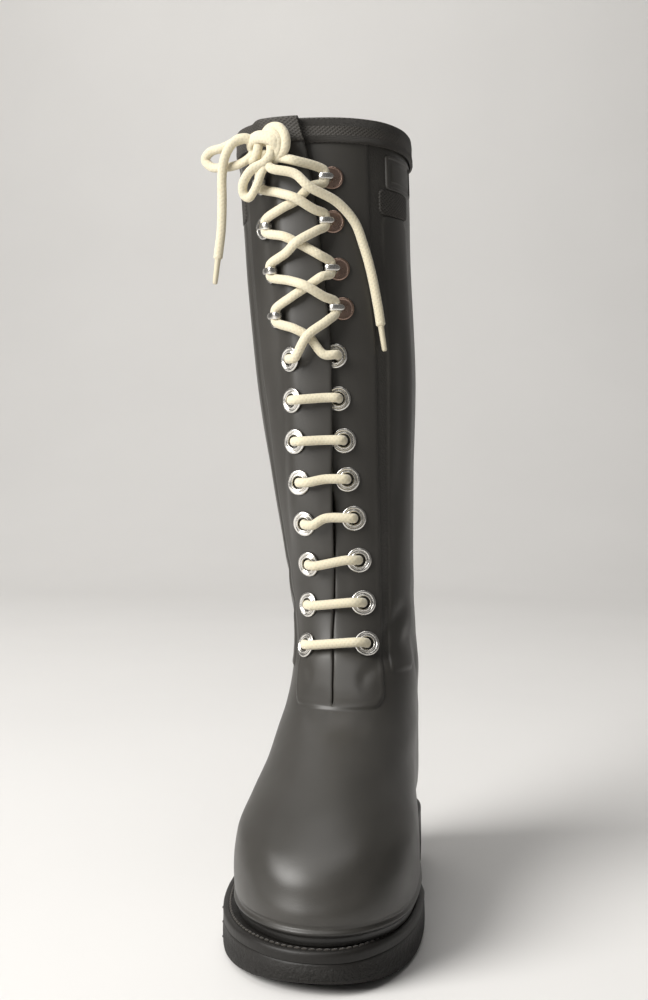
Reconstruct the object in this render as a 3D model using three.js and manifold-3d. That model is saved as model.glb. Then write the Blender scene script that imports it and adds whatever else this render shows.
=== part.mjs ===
// A tall laced rubber boot for the right foot, standing empty on its sole.
// Millimetres. The toe points to -Y, the inner side of the foot is +X, and up is +Z.
// The origin is the centre of the heel's flat face on the floor.
import * as THREE from 'three';
import { mergeVertices } from 'three/addons/utils/BufferGeometryUtils.js';
import Module from 'manifold-3d';

const wasm = await Module();
wasm.setup();

// Sole sizes
const SOLE_LENGTH = 272;
const SOLE_BALL_WIDTH = 105.5;
const SOLE_HEEL_WIDTH = 76;
const SOLE_WAIST_DEPTH = 5;
const HEEL_FLAT = 72;
const HEEL_MARGIN = 4;
const HEEL_HEIGHT = 37.5;
const FOREFOOT_HEIGHT = 22.5;
const TOE_SPRING = 6;
const ARCH_CLEARANCE = 13;
const SOLE_SIDE_BEVEL = 3;
const WELT_THICKNESS = 5.5;
const WELT_EDGE_RADIUS = 1.5;
const WELT_MARGIN = 7;
const TREAD_DEPTH = 4;
const TREAD_GROOVE = 5;
const TREAD_RIM = 9;
const INSOLE_THICKNESS = 4;
const INSOLE_MARGIN = 1.6;

// Upper sizes
const BOOT_HEIGHT = 448;
const INSTEP_RISE = 103;
const SHAFT_WIDTH = 102;
const SHAFT_DEPTH = 128;
const WALL = 2.3;
const PANEL_STEP = 1;
const STRIP_STEP = 0.8;
const STRIP_WIDTH = 26;
const RAND_HEIGHT = 7;
const RAND_STEP = 1.3;
const EDGE_STEP_WIDTH = 0.9;
const PANEL_BOTTOM_RISE = 93;
const PANEL_CORNER = 7;
const SLIT_GAP = 0.6;
const FLAP_OVERLAP = 17;
const FLAP_RAMP = 14;
const BINDING_HEIGHT = 15;
const BINDING_THICKNESS = 1;
const TONGUE_THICKNESS = 1.6;
const TONGUE_MARGIN = 8;
const CLEAR = 0.35;
const UPPER_SEAT = 0.45;
const SETTLE = 0.2;

// Hardware and lace sizes
const EYELET_RADIUS = 7.2;
const EYELET_HOLE = 3.7;
const EYELET_BARREL = 0.6;
const EYELET_HEIGHT = 0.8;
const LACING_FOOT_RISE = 19;
const LACING_TOP_DROP = 36.25;
const HOOK_RADIUS = 6.6;
const HOOK_DISC = 0.8;
const HOOK_WIDTH = 4.4;
const HOOK_SEAT = 3.9;
const LACE_DIAMETER = 4.8;
const AGLET_DIAMETER = 3.2;
const AGLET_LENGTH = 15;
const KNOT_WIDTH = 17;
const KNOT_HEIGHT = 15;
const KNOT_DEPTH = 11;
const BADGE_HEIGHT = 21;
const BADGE_THICKNESS = 1.2;
const PATCH_HEIGHT = 19;
const PATCH_THICKNESS = 1.4;

// Places that follow from the sizes
const BACK_Y = HEEL_FLAT / 2 + HEEL_MARGIN;
const UPPER_LENGTH = SOLE_LENGTH - 2 * WELT_MARGIN;
const UPPER_WIDTH = SOLE_BALL_WIDTH - 1.35 * WELT_MARGIN;
const UPPER_BACK_Y = BACK_Y - WELT_MARGIN;
const FEATHER = FOREFOOT_HEIGHT + CLEAR;
const ANKLE_Z = FEATHER + INSTEP_RISE;
const COLLAR_Z = BOOT_HEIGHT - BINDING_THICKNESS - CLEAR;
const SHAFT_RISE = COLLAR_Z - ANKLE_Z;
const PANEL_BOTTOM_Z = FEATHER + PANEL_BOTTOM_RISE;
const SLIT_BOTTOM_Z = PANEL_BOTTOM_Z + EDGE_STEP_WIDTH;
const RAND_TOP_Z = FEATHER + RAND_HEIGHT;
const LACE_RADIUS = LACE_DIAMETER / 2;
const HOOK_INSIDE = LACE_DIAMETER + 2 * CLEAR;
const LAP_LIFT = WALL + PANEL_STEP + EYELET_HEIGHT + 4.5 * CLEAR;
const COLLAR_LIFT = WALL + PANEL_STEP + 2 * BINDING_THICKNESS + 3 * CLEAR;
const LACE_SEAT = LACE_RADIUS + 2.4 * CLEAR;
const LACE_OVER = LACE_SEAT + 0.93 * LACE_DIAMETER;

// Sole outline: share of the length from the heel, share of the way from heel to ball width,
// and the waist's inset on the outer and inner side as shares of SOLE_WAIST_DEPTH
const OUTLINE_ROWS = [
  { along: 0, ball: 0, outer: 0, inner: 0 },
  { along: 0.166, ball: 0, outer: 0, inner: 0 },
  { along: 0.309, ball: 0.03, outer: -0.4, inner: 0.18 },
  { along: 0.4, ball: 0.16, outer: -0.9, inner: 0.94 },
  { along: 0.48, ball: 0.5, outer: -1.1, inner: 1 },
  { along: 0.56, ball: 0.84, outer: -0.5, inner: 0.5 },
  { along: 0.63, ball: 1, outer: 0, inner: 0 },
];
const OUTLINE_HEEL_SHARE = 0.166;
const OUTLINE_BALL_SHARE = 0.63;
const TOE_POWER_OUTER = 2.1;
const TOE_POWER_INNER = 2.25;
const BALL_OUTER_SHARE = 0.567;

// Sole profile: share of the length from the heel, rise of the top as a share of the drop from
// heel to forefoot, toe spring as a share of TOE_SPRING, arch as a share of ARCH_CLEARANCE
const PROFILE_ROWS = [
  { along: 0, rise: 1, spring: 0, arch: 0 },
  { along: 0.218, rise: 0.9, spring: 0, arch: 0 },
  { along: 0.28, rise: 0.83, spring: 0, arch: 0 },
  { along: 0.305, rise: 0.8, spring: 0, arch: 1 },
  { along: 0.367, rise: 0.68, spring: 0, arch: 0.97 },
  { along: 0.455, rise: 0.42, spring: 0, arch: 0.75 },
  { along: 0.53, rise: 0.21, spring: 0, arch: 0.38 },
  { along: 0.6, rise: 0.08, spring: 0, arch: 0.08 },
  { along: 0.64, rise: 0.03, spring: 0, arch: 0 },
  { along: 0.7, rise: -0.03, spring: 0, arch: 0 },
  { along: 0.78, rise: -0.09, spring: 0, arch: 0 },
  { along: 0.85, rise: -0.14, spring: 0.14, arch: 0 },
  { along: 0.93, rise: -0.25, spring: 0.5, arch: 0 },
  { along: 1, rise: -0.48, spring: 1, arch: 0 },
];

// Foot sections: level as a share of INSTEP_RISE; front, back as shares of UPPER_LENGTH from the
// upper's back; half widths at heel and ball as shares of UPPER_WIDTH; end shares and powers
const FOOT_ROWS = [
  { level: 0, front: 1, back: 0, heel: 0.34, ball: 0.48, heelEnd: 0.16, ballEnd: 0.65, dip: 0.03, nose: 2.15 },
  { level: 0.12, front: 1.006, back: -0.007, heel: 0.365, ball: 0.5, heelEnd: 0.17, ballEnd: 0.69, dip: 0.03, nose: 2.2 },
  { level: 0.235, front: 0.992, back: -0.011, heel: 0.378, ball: 0.5, heelEnd: 0.18, ballEnd: 0.715, dip: 0.026, nose: 2.25 },
  { level: 0.353, front: 0.957, back: -0.011, heel: 0.382, ball: 0.492, heelEnd: 0.19, ballEnd: 0.725, dip: 0.02, nose: 2.25 },
  { level: 0.49, front: 0.885, back: -0.011, heel: 0.383, ball: 0.452, heelEnd: 0.22, ballEnd: 0.69, dip: 0.012, nose: 2.1 },
  { level: 0.627, front: 0.787, back: -0.007, heel: 0.383, ball: 0.42, heelEnd: 0.26, ballEnd: 0.62, dip: 0.005, nose: 2 },
  { level: 0.745, front: 0.693, back: -0.004, heel: 0.386, ball: 0.409, heelEnd: 0.32, ballEnd: 0.6, dip: 0, nose: 2 },
  { level: 0.863, front: 0.603, back: 0, heel: 0.382, ball: 0.391, heelEnd: 0.38, ballEnd: 0.58, dip: 0, nose: 2.1 },
];
const FOOT_WANDER = [
  { along: 0, shift: 0 },
  { along: 0.2, shift: 0 },
  { along: 0.45, shift: -0.018 },
  { along: 0.7, shift: -0.045 },
  { along: 1, shift: -0.004 },
];

// Shaft sections: level as a share of the shaft's rise; front and back from the origin as shares
// of SHAFT_DEPTH; half width and lean as shares of SHAFT_WIDTH
const SHAFT_ROWS = [
  { level: 0, front: 0.805, back: 0.242, half: 0.36, lean: 0.004, heelEnd: 0.43, ballEnd: 0.56, nose: 2.2 },
  { level: 0.069, front: 0.672, back: 0.227, half: 0.349, lean: -0.004, heelEnd: 0.46, ballEnd: 0.54, nose: 2.3 },
  { level: 0.178, front: 0.625, back: 0.234, half: 0.363, lean: -0.032, heelEnd: 0.48, ballEnd: 0.52, nose: 2.4 },
  { level: 0.35, front: 0.609, back: 0.289, half: 0.41, lean: -0.082, heelEnd: 0.48, ballEnd: 0.52, nose: 2.4 },
  { level: 0.569, front: 0.594, back: 0.367, half: 0.47, lean: -0.133, heelEnd: 0.48, ballEnd: 0.52, nose: 2.4 },
  { level: 0.788, front: 0.578, back: 0.414, half: 0.488, lean: -0.187, heelEnd: 0.48, ballEnd: 0.52, nose: 2.4 },
  { level: 1, front: 0.5625, back: 0.4375, half: 0.5, lean: -0.223, heelEnd: 0.48, ballEnd: 0.52, nose: 2.4 },
];

// Lines up the upper in degrees round each section, 180 at the front and less on the inner side:
// level 0 to 1 is the foot and 1 to 2 the shaft
const LINE_ROWS = [
  { level: 0, slit: 184, panelOuter: 222, panelInner: 150, stripOuter: 236, stripInner: 140 },
  { level: 0.9, slit: 187, panelOuter: 224, panelInner: 150, stripOuter: 236, stripInner: 140 },
  { level: 1.069, slit: 189.5, panelOuter: 229, panelInner: 154, stripOuter: 240, stripInner: 145.5 },
  { level: 1.14, slit: 186, panelOuter: 231, panelInner: 154, stripOuter: 241, stripInner: 144 },
  { level: 1.31, slit: 181.2, panelOuter: 231.7, panelInner: 152.5, stripOuter: 242, stripInner: 142 },
  { level: 1.49, slit: 178.8, panelOuter: 229.3, panelInner: 153, stripOuter: 240, stripInner: 142.6 },
  { level: 1.6, slit: 177.8, panelOuter: 228.8, panelInner: 152.7, stripOuter: 239, stripInner: 142 },
  { level: 1.78, slit: 179.1, panelOuter: 228.3, panelInner: 152, stripOuter: 238.5, stripInner: 141 },
  { level: 1.93, slit: 181.4, panelOuter: 228, panelInner: 151.5, stripOuter: 238, stripInner: 140 },
  { level: 2, slit: 184.8, panelOuter: 228, panelInner: 151.5, stripOuter: 238, stripInner: 140 },
];

// Eyelet rows from the lowest: offsets from the slit on the outer and inner side as shares of
// LACING_WIDTH, and how far the inner one sits above the outer in millimetres; hooks likewise
const LACING_WIDTH = 36.7;
const EYELET_ROWS = [
  { outer: 0.488, inner: 0.512, raise: 2.2 },
  { outer: 0.452, inner: 0.439, raise: 1.8 },
  { outer: 0.409, inner: 0.373, raise: 2.6 },
  { outer: 0.411, inner: 0.302, raise: 3 },
  { outer: 0.469, inner: 0.213, raise: 1.7 },
  { outer: 0.542, inner: 0.153, raise: 0.4 },
  { outer: 0.583, inner: 0.079, raise: 0.9 },
  { outer: 0.608, inner: 0.038, raise: 1.9 },
];
const HOOK_ROWS = [
  { outer: 0.82, inner: 0.216, raise: 3.5 },
  { outer: 0.812, inner: 0.216, raise: 0.3 },
  { outer: 0.886, inner: 0.216, raise: 1.7 },
  { outer: 0.823, inner: 0.3, raise: 1 },
];

const clamp01 = (t) => Math.min(1, Math.max(0, t));
const smooth = (t) => clamp01(t) ** 2 * (3 - 2 * clamp01(t));
const mix = (a, b, t) => a + (b - a) * t;
const radians = (d) => (d * Math.PI) / 180;

// Monotone cubic curve through the rows of a table
function curve(rows, xKey, yKey) {
  const x = rows.map((r) => r[xKey]);
  const y = rows.map((r) => r[yKey]);
  const n = x.length;
  const d = x.slice(1).map((v, i) => (y[i + 1] - y[i]) / (v - x[i]));
  const m = y.map((_, i) => {
    if (i === 0) return d[0];
    if (i === n - 1) return d[n - 2];
    if (d[i - 1] * d[i] <= 0) return 0;
    const h0 = x[i] - x[i - 1];
    const h1 = x[i + 1] - x[i];
    const w0 = 2 * h1 + h0;
    const w1 = h1 + 2 * h0;
    return (w0 + w1) / (w0 / d[i - 1] + w1 / d[i]);
  });
  return (value) => {
    const v = Math.min(x[n - 1], Math.max(x[0], value));
    let i = 0;
    while (i < n - 2 && v > x[i + 1]) i += 1;
    const h = x[i + 1] - x[i];
    const t = (v - x[i]) / h;
    const a = (1 + 2 * t) * (1 - t) ** 2 * y[i] + t * (1 - t) ** 2 * h * m[i];
    return a + t * t * (3 - 2 * t) * y[i + 1] + t * t * (t - 1) * h * m[i + 1];
  };
}

// Solid from positions and triangles, turned so that its faces point out
function solidGeometry(points, triangles) {
  let volume = 0;
  for (const [a, b, c] of triangles) {
    volume += points[a].dot(points[b].clone().cross(points[c]));
  }
  const index = triangles.flatMap(([a, b, c]) => (volume > 0 ? [a, b, c] : [a, c, b]));
  const geometry = new THREE.BufferGeometry();
  geometry.setAttribute('position', new THREE.Float32BufferAttribute(points.flatMap((p) => p.toArray()), 3));
  geometry.setIndex(index);
  return mergeVertices(geometry, 1e-3);
}

function toManifold(geometry) {
  const bare = geometry.clone();
  bare.deleteAttribute('normal');
  bare.deleteAttribute('uv');
  const merged = mergeVertices(bare, 1e-3);
  return new wasm.Manifold(new wasm.Mesh({
    numProp: 3,
    vertProperties: Float32Array.from(merged.attributes.position.array),
    triVerts: Uint32Array.from(merged.index.array),
  }));
}

function fromManifold(manifold) {
  const mesh = manifold.getMesh();
  const geometry = new THREE.BufferGeometry();
  geometry.setAttribute('position', new THREE.BufferAttribute(Float32Array.from(mesh.vertProperties), 3));
  geometry.setIndex(new THREE.BufferAttribute(Uint32Array.from(mesh.triVerts), 1));
  return geometry;
}

// Solid between loops of points that each have the same count, with both end loops filled; the
// cap's triangles run against the loop's own direction
function sweptGeometry(loops, capTriangles) {
  const n = loops[0].length;
  const points = loops.flat();
  const triangles = [];
  for (let k = 0; k < loops.length - 1; k += 1) {
    for (let i = 0; i < n; i += 1) {
      const a = k * n + i;
      const b = k * n + ((i + 1) % n);
      triangles.push([a, b, b + n], [a, b + n, a + n]);
    }
  }
  const last = (loops.length - 1) * n;
  for (const [a, b, c] of capTriangles) {
    triangles.push([a, b, c], [last + c, last + b, last + a]);
  }
  return solidGeometry(points, triangles);
}

// Cap of a ring whose points k and n - k lie at the same length
function ladder(n) {
  const cap = [[0, n - 1, 1]];
  for (let k = 1; k < n / 2 - 1; k += 1) {
    cap.push([k, n - k, k + 1], [k + 1, n - k, n - k - 1]);
  }
  cap.push([n / 2 - 1, n / 2 + 1, n / 2]);
  return cap;
}

// Sole outline and profile
const outlineBall = curve(OUTLINE_ROWS, 'along', 'ball');
const outlineOuter = curve(OUTLINE_ROWS, 'along', 'outer');
const outlineInner = curve(OUTLINE_ROWS, 'along', 'inner');
const profileRise = curve(PROFILE_ROWS, 'along', 'rise');
const profileSpring = curve(PROFILE_ROWS, 'along', 'spring');
const profileArch = curve(PROFILE_ROWS, 'along', 'arch');
const roundEnd = (t, power) => (1 - (1 - clamp01(t)) ** power) ** (1 / power);
const alongSole = (y) => clamp01((BACK_Y - y) / SOLE_LENGTH);

function soleTop(y) {
  const drop = HEEL_HEIGHT - FOREFOOT_HEIGHT;
  return FOREFOOT_HEIGHT + drop * profileRise(alongSole(y)) + TOE_SPRING * profileSpring(alongSole(y));
}

function soleBottom(y) {
  return TOE_SPRING * profileSpring(alongSole(y)) + ARCH_CLEARANCE * profileArch(alongSole(y));
}

function soleHalfWidth(along, inner) {
  const heel = SOLE_HEEL_WIDTH / 2;
  const ball = SOLE_BALL_WIDTH * (inner ? 1 - BALL_OUTER_SHARE : BALL_OUTER_SHARE);
  if (along < OUTLINE_HEEL_SHARE) return heel * roundEnd(along / OUTLINE_HEEL_SHARE, 2.3);
  if (along > OUTLINE_BALL_SHARE) {
    const power = inner ? TOE_POWER_INNER : TOE_POWER_OUTER;
    return ball * roundEnd((1 - along) / (1 - OUTLINE_BALL_SHARE), power);
  }
  const waist = inner ? outlineInner(along) : outlineOuter(along);
  return mix(heel, ball, outlineBall(along)) - SOLE_WAIST_DEPTH * waist;
}

const SOLE_STATIONS = [0, 0.004, 0.016, 0.036, 0.065, 0.105, 0.16, 0.215, 0.28, 0.305, 0.34, 0.375, 0.41,
  0.45, 0.49, 0.53, 0.57, 0.61, 0.65, 0.7, 0.75, 0.8, 0.84, 0.88, 0.915, 0.945, 0.97, 0.986, 0.996, 1];

function soleRing(inset, heightAt) {
  const inner = SOLE_STATIONS.map((s) => [soleHalfWidth(s, true), BACK_Y - s * SOLE_LENGTH]);
  const outer = SOLE_STATIONS.slice(1, -1).reverse()
    .map((s) => [-soleHalfWidth(s, false), BACK_Y - s * SOLE_LENGTH]);
  const flat = [...inner, ...outer];
  const n = flat.length;
  return flat.map(([x, y], i) => {
    const before = flat[(i + n - 1) % n];
    const after = flat[(i + 1) % n];
    const tangent = new THREE.Vector2(after[0] - before[0], after[1] - before[1]).normalize();
    const px = x + tangent.y * inset;
    const py = y - tangent.x * inset;
    return new THREE.Vector3(px, py, heightAt(py));
  });
}

// Upper: sections in millimetres
const sections = [
  ...FOOT_ROWS.map((r) => ({
    ...r,
    z: FEATHER + r.level * INSTEP_RISE,
    front: UPPER_BACK_Y - r.front * UPPER_LENGTH,
    back: UPPER_BACK_Y - r.back * UPPER_LENGTH,
    heel: r.heel * UPPER_WIDTH,
    ball: r.ball * UPPER_WIDTH,
    dip: r.dip * UPPER_WIDTH,
    lean: 0,
  })),
  ...SHAFT_ROWS.map((r) => ({
    ...r,
    z: ANKLE_Z + r.level * SHAFT_RISE,
    front: -r.front * SHAFT_DEPTH,
    back: r.back * SHAFT_DEPTH,
    heel: r.half * SHAFT_WIDTH,
    ball: r.half * SHAFT_WIDTH,
    dip: 0,
    lean: r.lean * SHAFT_WIDTH,
  })),
];
const SECTION_KEYS = ['front', 'back', 'heel', 'ball', 'heelEnd', 'ballEnd', 'dip', 'nose', 'lean'];
const sectionCurves = SECTION_KEYS.map((key) => [key, curve(sections, 'z', key)]);
const wander = curve(FOOT_WANDER, 'along', 'shift');
const sectionStore = new Map();

function sectionAt(z) {
  if (!sectionStore.has(z)) {
    sectionStore.set(z, Object.fromEntries(sectionCurves.map(([key, f]) => [key, f(z)])));
  }
  return sectionStore.get(z);
}

// Point on the upper's main surface: angle round the section from the back, and height
function sectionPoint(angle, z) {
  const g = sectionAt(z);
  const along = (1 - Math.cos(angle)) / 2;
  const y = mix(g.back, g.front, along);
  const t = clamp01((along - g.heelEnd) / (g.ballEnd - g.heelEnd));
  let half = mix(g.heel, g.ball, smooth(t)) - g.dip * 16 * t ** 2 * (1 - t) ** 2;
  if (along < g.heelEnd) half = g.heel * roundEnd(along / g.heelEnd, 2.2);
  if (along > g.ballEnd) half = g.ball * roundEnd((1 - along) / (1 - g.ballEnd), g.nose);
  const foot = 1 - smooth((z - FEATHER - 0.35 * INSTEP_RISE) / (0.6 * INSTEP_RISE));
  const side = Math.sin(angle) >= 0 ? 1 : -1;
  const x = g.lean + foot * UPPER_WIDTH * wander(along) + side * half;
  const follow = 1 - smooth((z - FEATHER) / (0.5 * INSTEP_RISE));
  return new THREE.Vector3(x, y, z + follow * (soleTop(y) - FOREFOOT_HEIGHT));
}

function sectionNormal(angle, z) {
  const e = 0.01;
  const low = Math.max(FEATHER, z - 0.5);
  const high = Math.min(COLLAR_Z, z + 0.5);
  const around = sectionPoint(angle + e, z).sub(sectionPoint(angle - e, z));
  const up = sectionPoint(angle, high).sub(sectionPoint(angle, low));
  const normal = up.cross(around).normalize();
  const level = smooth((z - FEATHER) / (0.12 * INSTEP_RISE)) * smooth((COLLAR_Z - z) / BINDING_HEIGHT);
  normal.z *= level;
  return normal.normalize();
}

// Angle that lies an arc length away from a start angle, positive to the inner side of the foot
const arcStore = new Map();
function angleAtArc(z, start, arc) {
  const key = `${z.toFixed(3)},${start.toFixed(5)}`;
  if (!arcStore.has(key)) {
    const step = radians(1);
    const walk = [{ arc: 0, angle: start }];
    for (const way of [-1, 1]) {
      let total = 0;
      let last = sectionPoint(start, z);
      for (let i = 1; i <= 110; i += 1) {
        const next = sectionPoint(start + way * i * step, z);
        total += Math.hypot(next.x - last.x, next.y - last.y);
        walk.push({ arc: -way * total, angle: start + way * i * step });
        last = next;
      }
    }
    walk.sort((a, b) => a.arc - b.arc);
    arcStore.set(key, walk);
  }
  const walk = arcStore.get(key);
  let i = 0;
  while (i < walk.length - 2 && arc > walk[i + 1].arc) i += 1;
  const t = (arc - walk[i].arc) / (walk[i + 1].arc - walk[i].arc);
  return mix(walk[i].angle, walk[i + 1].angle, t);
}

const levelOf = (z) => (z < ANKLE_Z ? (z - FEATHER) / INSTEP_RISE : 1 + (z - ANKLE_Z) / SHAFT_RISE);
const lineCurves = {
  slit: curve(LINE_ROWS, 'level', 'slit'),
  panelOuter: curve(LINE_ROWS, 'level', 'panelOuter'),
  panelInner: curve(LINE_ROWS, 'level', 'panelInner'),
  stripOuter: curve(LINE_ROWS, 'level', 'stripOuter'),
  stripInner: curve(LINE_ROWS, 'level', 'stripInner'),
};
const lineAngle = (name, z) => radians(lineCurves[name](levelOf(z)));
const spotAngle = (z, arc) => angleAtArc(z, lineAngle('slit', z), arc);

// The outer flap's lap over the inner one: none at the foot of the slit, whole from the middle up
const lapShare = (z) => smooth(((z - SLIT_BOTTOM_Z) / (COLLAR_Z - SLIT_BOTTOM_Z) - 0.33) / 0.14);
const liftShare = (z) => smooth(((z - SLIT_BOTTOM_Z) / (COLLAR_Z - SLIT_BOTTOM_Z) - 0.2) / 0.14);

function lapLift(z, arc) {
  const share = 1 - smooth((-arc - FLAP_OVERLAP - 2) / FLAP_RAMP);
  const top = smooth((z - BOOT_HEIGHT + 2.6 * BINDING_HEIGHT) / (1.4 * BINDING_HEIGHT));
  return arc > 0 ? 0 : mix(LAP_LIFT, COLLAR_LIFT, top) * liftShare(z) * share;
}

function skin(angle, z, off) {
  return sectionPoint(angle, z).addScaledVector(sectionNormal(angle, z), off);
}

// Outer face of the lacing panel at an arc from the slit, with the lap's lift on the outer side
function spot(z, arc, height) {
  return skin(spotAngle(z, arc), z, PANEL_STEP + lapLift(z, arc) + height);
}

// Rows and columns of the upper's grid
const STRIP_BOTTOM_Z = ANKLE_Z + 6;
const PATCH_TOP_Z = BOOT_HEIGHT - 39;
const PATCH_BOTTOM_Z = PATCH_TOP_Z - PATCH_HEIGHT + 4;
const BADGE_TOP_Z = BOOT_HEIGHT - BINDING_HEIGHT - 3;
const BADGE_BOTTOM_Z = BADGE_TOP_Z - BADGE_HEIGHT;
const STRIP_TOP_Z = PATCH_BOTTOM_Z - 1;
const stepUp = (z) => z + EDGE_STEP_WIDTH;
const footRows = [0, 0.045].map((level) => FEATHER + level * INSTEP_RISE);
const toeRows = [0.185, 0.28, 0.37, 0.46, 0.55, 0.64, 0.73, 0.82]
  .map((level) => FEATHER + level * INSTEP_RISE);
const shaftRows = [0.035, 0.06, 0.09, 0.13, 0.18, 0.27, 0.38, 0.49, 0.6, 0.7, 0.78]
  .map((level) => ANKLE_Z + level * SHAFT_RISE);
const upperRows = [
  ...footRows, RAND_TOP_Z, stepUp(RAND_TOP_Z), ...toeRows, PANEL_BOTTOM_Z, SLIT_BOTTOM_Z,
  SLIT_BOTTOM_Z + 2, SLIT_BOTTOM_Z + PANEL_CORNER, STRIP_BOTTOM_Z, stepUp(STRIP_BOTTOM_Z), ...shaftRows,
  STRIP_TOP_Z, stepUp(STRIP_TOP_Z), BOOT_HEIGHT - 34, BOOT_HEIGHT - BINDING_HEIGHT, COLLAR_Z,
];
const KEPT_INSIDE = [FEATHER, SLIT_BOTTOM_Z, BOOT_HEIGHT - BINDING_HEIGHT, COLLAR_Z];
const LEFT_INSIDE = [PANEL_BOTTOM_Z, stepUp(RAND_TOP_Z), stepUp(STRIP_BOTTOM_Z), stepUp(STRIP_TOP_Z)];
const isInnerRow = (z, i) => KEPT_INSIDE.includes(z) || (i % 2 === 1 && !LEFT_INSIDE.includes(z));
const innerRows = upperRows.filter(isInnerRow);

// Arc length from the slit to an angle, positive to the inner side
function arcAt(z, angle) {
  const start = lineAngle('slit', z);
  angleAtArc(z, start, 0);
  const walk = arcStore.get(`${z.toFixed(3)},${start.toFixed(5)}`);
  let i = 0;
  while (i < walk.length - 2 && angle < walk[i + 1].angle) i += 1;
  const t = (angle - walk[i].angle) / (walk[i + 1].angle - walk[i].angle);
  return mix(walk[i].arc, walk[i + 1].arc, clamp01(t));
}

// Columns from the slit's outer edge round the heel to its inner edge
const TURN = 2 * Math.PI;
const PANEL_COLUMNS = 5;
const SIDE_COLUMNS = 8;
const cornerInset = (z) => {
  const t = clamp01((z - PANEL_BOTTOM_Z) / PANEL_CORNER);
  return PANEL_CORNER * (1 - Math.sqrt(1 - (1 - t) ** 2));
};
const beside = (z, line, arc) => angleAtArc(z, lineAngle(line, z), arc);
const slitAngle = (z) => lineAngle('slit', z);
const slitOuterEnd = (z) => (z > SLIT_BOTTOM_Z ? spotAngle(z, -SLIT_GAP / 2) : slitAngle(z));
const slitInnerArc = (z) => mix(SLIT_GAP / 2, -FLAP_OVERLAP, lapShare(z));
const slitInnerEnd = (z) => (z > SLIT_BOTTOM_Z ? spotAngle(z, slitInnerArc(z)) : slitAngle(z));
const outerPanelEdge = (z, arc) => beside(z, 'panelOuter', cornerInset(z) - arc);
const innerPanelEdge = (z, arc) => beside(z, 'panelInner', arc - cornerInset(z)) + TURN;
const outerStripEdge = (z, arc) => beside(z, 'stripOuter', -arc);
const innerStripEdge = (z, arc) => beside(z, 'stripInner', arc) + TURN;

function between(from, to, count, flags) {
  const angle = (k) => (z) => mix(from(z), to(z), k / count);
  return Array.from({ length: count + 1 }, (_, k) => ({ ...flags, angle: angle(k) }));
}

const inStrip = (edge, arc) => (z) => edge(z, arc);
const BEHIND_STRIP = STRIP_WIDTH + EDGE_STEP_WIDTH;
const upperColumns = [
  ...between(slitOuterEnd, (z) => outerPanelEdge(z, 0), PANEL_COLUMNS, { outer: true, panel: true }),
  { outer: true, angle: (z) => outerPanelEdge(z, EDGE_STEP_WIDTH) },
  { outer: true, angle: (z) => outerStripEdge(z, 0) },
  ...between(inStrip(outerStripEdge, EDGE_STEP_WIDTH), inStrip(outerStripEdge, STRIP_WIDTH), 2,
    { outer: true, strip: true }),
  ...between(inStrip(outerStripEdge, BEHIND_STRIP), () => TURN, SIDE_COLUMNS, { outer: true }),
  ...between(() => TURN, inStrip(innerStripEdge, BEHIND_STRIP), SIDE_COLUMNS, {}).slice(1),
  ...between(inStrip(innerStripEdge, STRIP_WIDTH), inStrip(innerStripEdge, EDGE_STEP_WIDTH), 2,
    { strip: true }),
  { angle: (z) => innerStripEdge(z, 0) },
  { angle: (z) => innerPanelEdge(z, EDGE_STEP_WIDTH) },
  ...between((z) => innerPanelEdge(z, 0), (z) => slitInnerEnd(z) + TURN, PANEL_COLUMNS, { panel: true }),
];

function outerStep(column, z) {
  const panel = column.panel && z >= SLIT_BOTTOM_Z ? PANEL_STEP : 0;
  const strip = column.strip && z >= stepUp(STRIP_BOTTOM_Z) && z <= STRIP_TOP_Z ? STRIP_STEP : 0;
  const rand = z <= RAND_TOP_Z ? RAND_STEP : 0;
  return panel + strip + rand;
}

function columnPoint(column, z, offset) {
  const angle = column.angle(z);
  const lift = column.outer ? lapLift(z, arcAt(z, angle)) : 0;
  const point = skin(angle, z, offset + lift);
  if (z === FEATHER) point.z = soleTop(point.y) + UPPER_SEAT;
  return point;
}

function upperGeometry() {
  const points = [];
  const grid = (rows, offsetAt) => rows.map((z) => upperColumns.map((column) => {
    points.push(columnPoint(column, z, offsetAt(column, z)));
    return points.length - 1;
  }));
  const outside = grid(upperRows, outerStep);
  const inside = grid(innerRows, () => -WALL);
  const triangles = [];
  const last = upperColumns.length - 1;
  const [o0, i0, o1, i1] = [outside[0], inside[0], outside.at(-1), inside.at(-1)];
  for (let c = 0; c < last; c += 1) {
    for (let r = 0; r < upperRows.length - 1; r += 1) {
      triangles.push([outside[r][c], outside[r][c + 1], outside[r + 1][c]]);
      triangles.push([outside[r][c + 1], outside[r + 1][c + 1], outside[r + 1][c]]);
    }
    for (let r = 0; r < innerRows.length - 1; r += 1) {
      triangles.push([inside[r][c], inside[r + 1][c], inside[r][c + 1]]);
      triangles.push([inside[r][c + 1], inside[r + 1][c], inside[r + 1][c + 1]]);
    }
    triangles.push([o0[c + 1], o0[c], i0[c]], [o0[c + 1], i0[c], i0[c + 1]]);
    triangles.push([o1[c], o1[c + 1], i1[c]], [o1[c + 1], i1[c + 1], i1[c]]);
  }
  for (const end of [0, last]) {
    let o = upperRows.indexOf(SLIT_BOTTOM_Z);
    let i = innerRows.indexOf(SLIT_BOTTOM_Z);
    while (o < upperRows.length - 1 || i < innerRows.length - 1) {
      const insideDone = i === innerRows.length - 1;
      const outsideNext = o < upperRows.length - 1 && upperRows[o + 1] <= innerRows[i + 1];
      const stepOutside = insideDone || outsideNext;
      const a = outside[o][end];
      const b = inside[i][end];
      const next = stepOutside ? outside[o + 1][end] : inside[i + 1][end];
      triangles.push(end === 0 ? [a, next, b] : [next, a, b]);
      if (stepOutside) o += 1;
      else i += 1;
    }
  }
  return solidGeometry(points, triangles);
}

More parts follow.
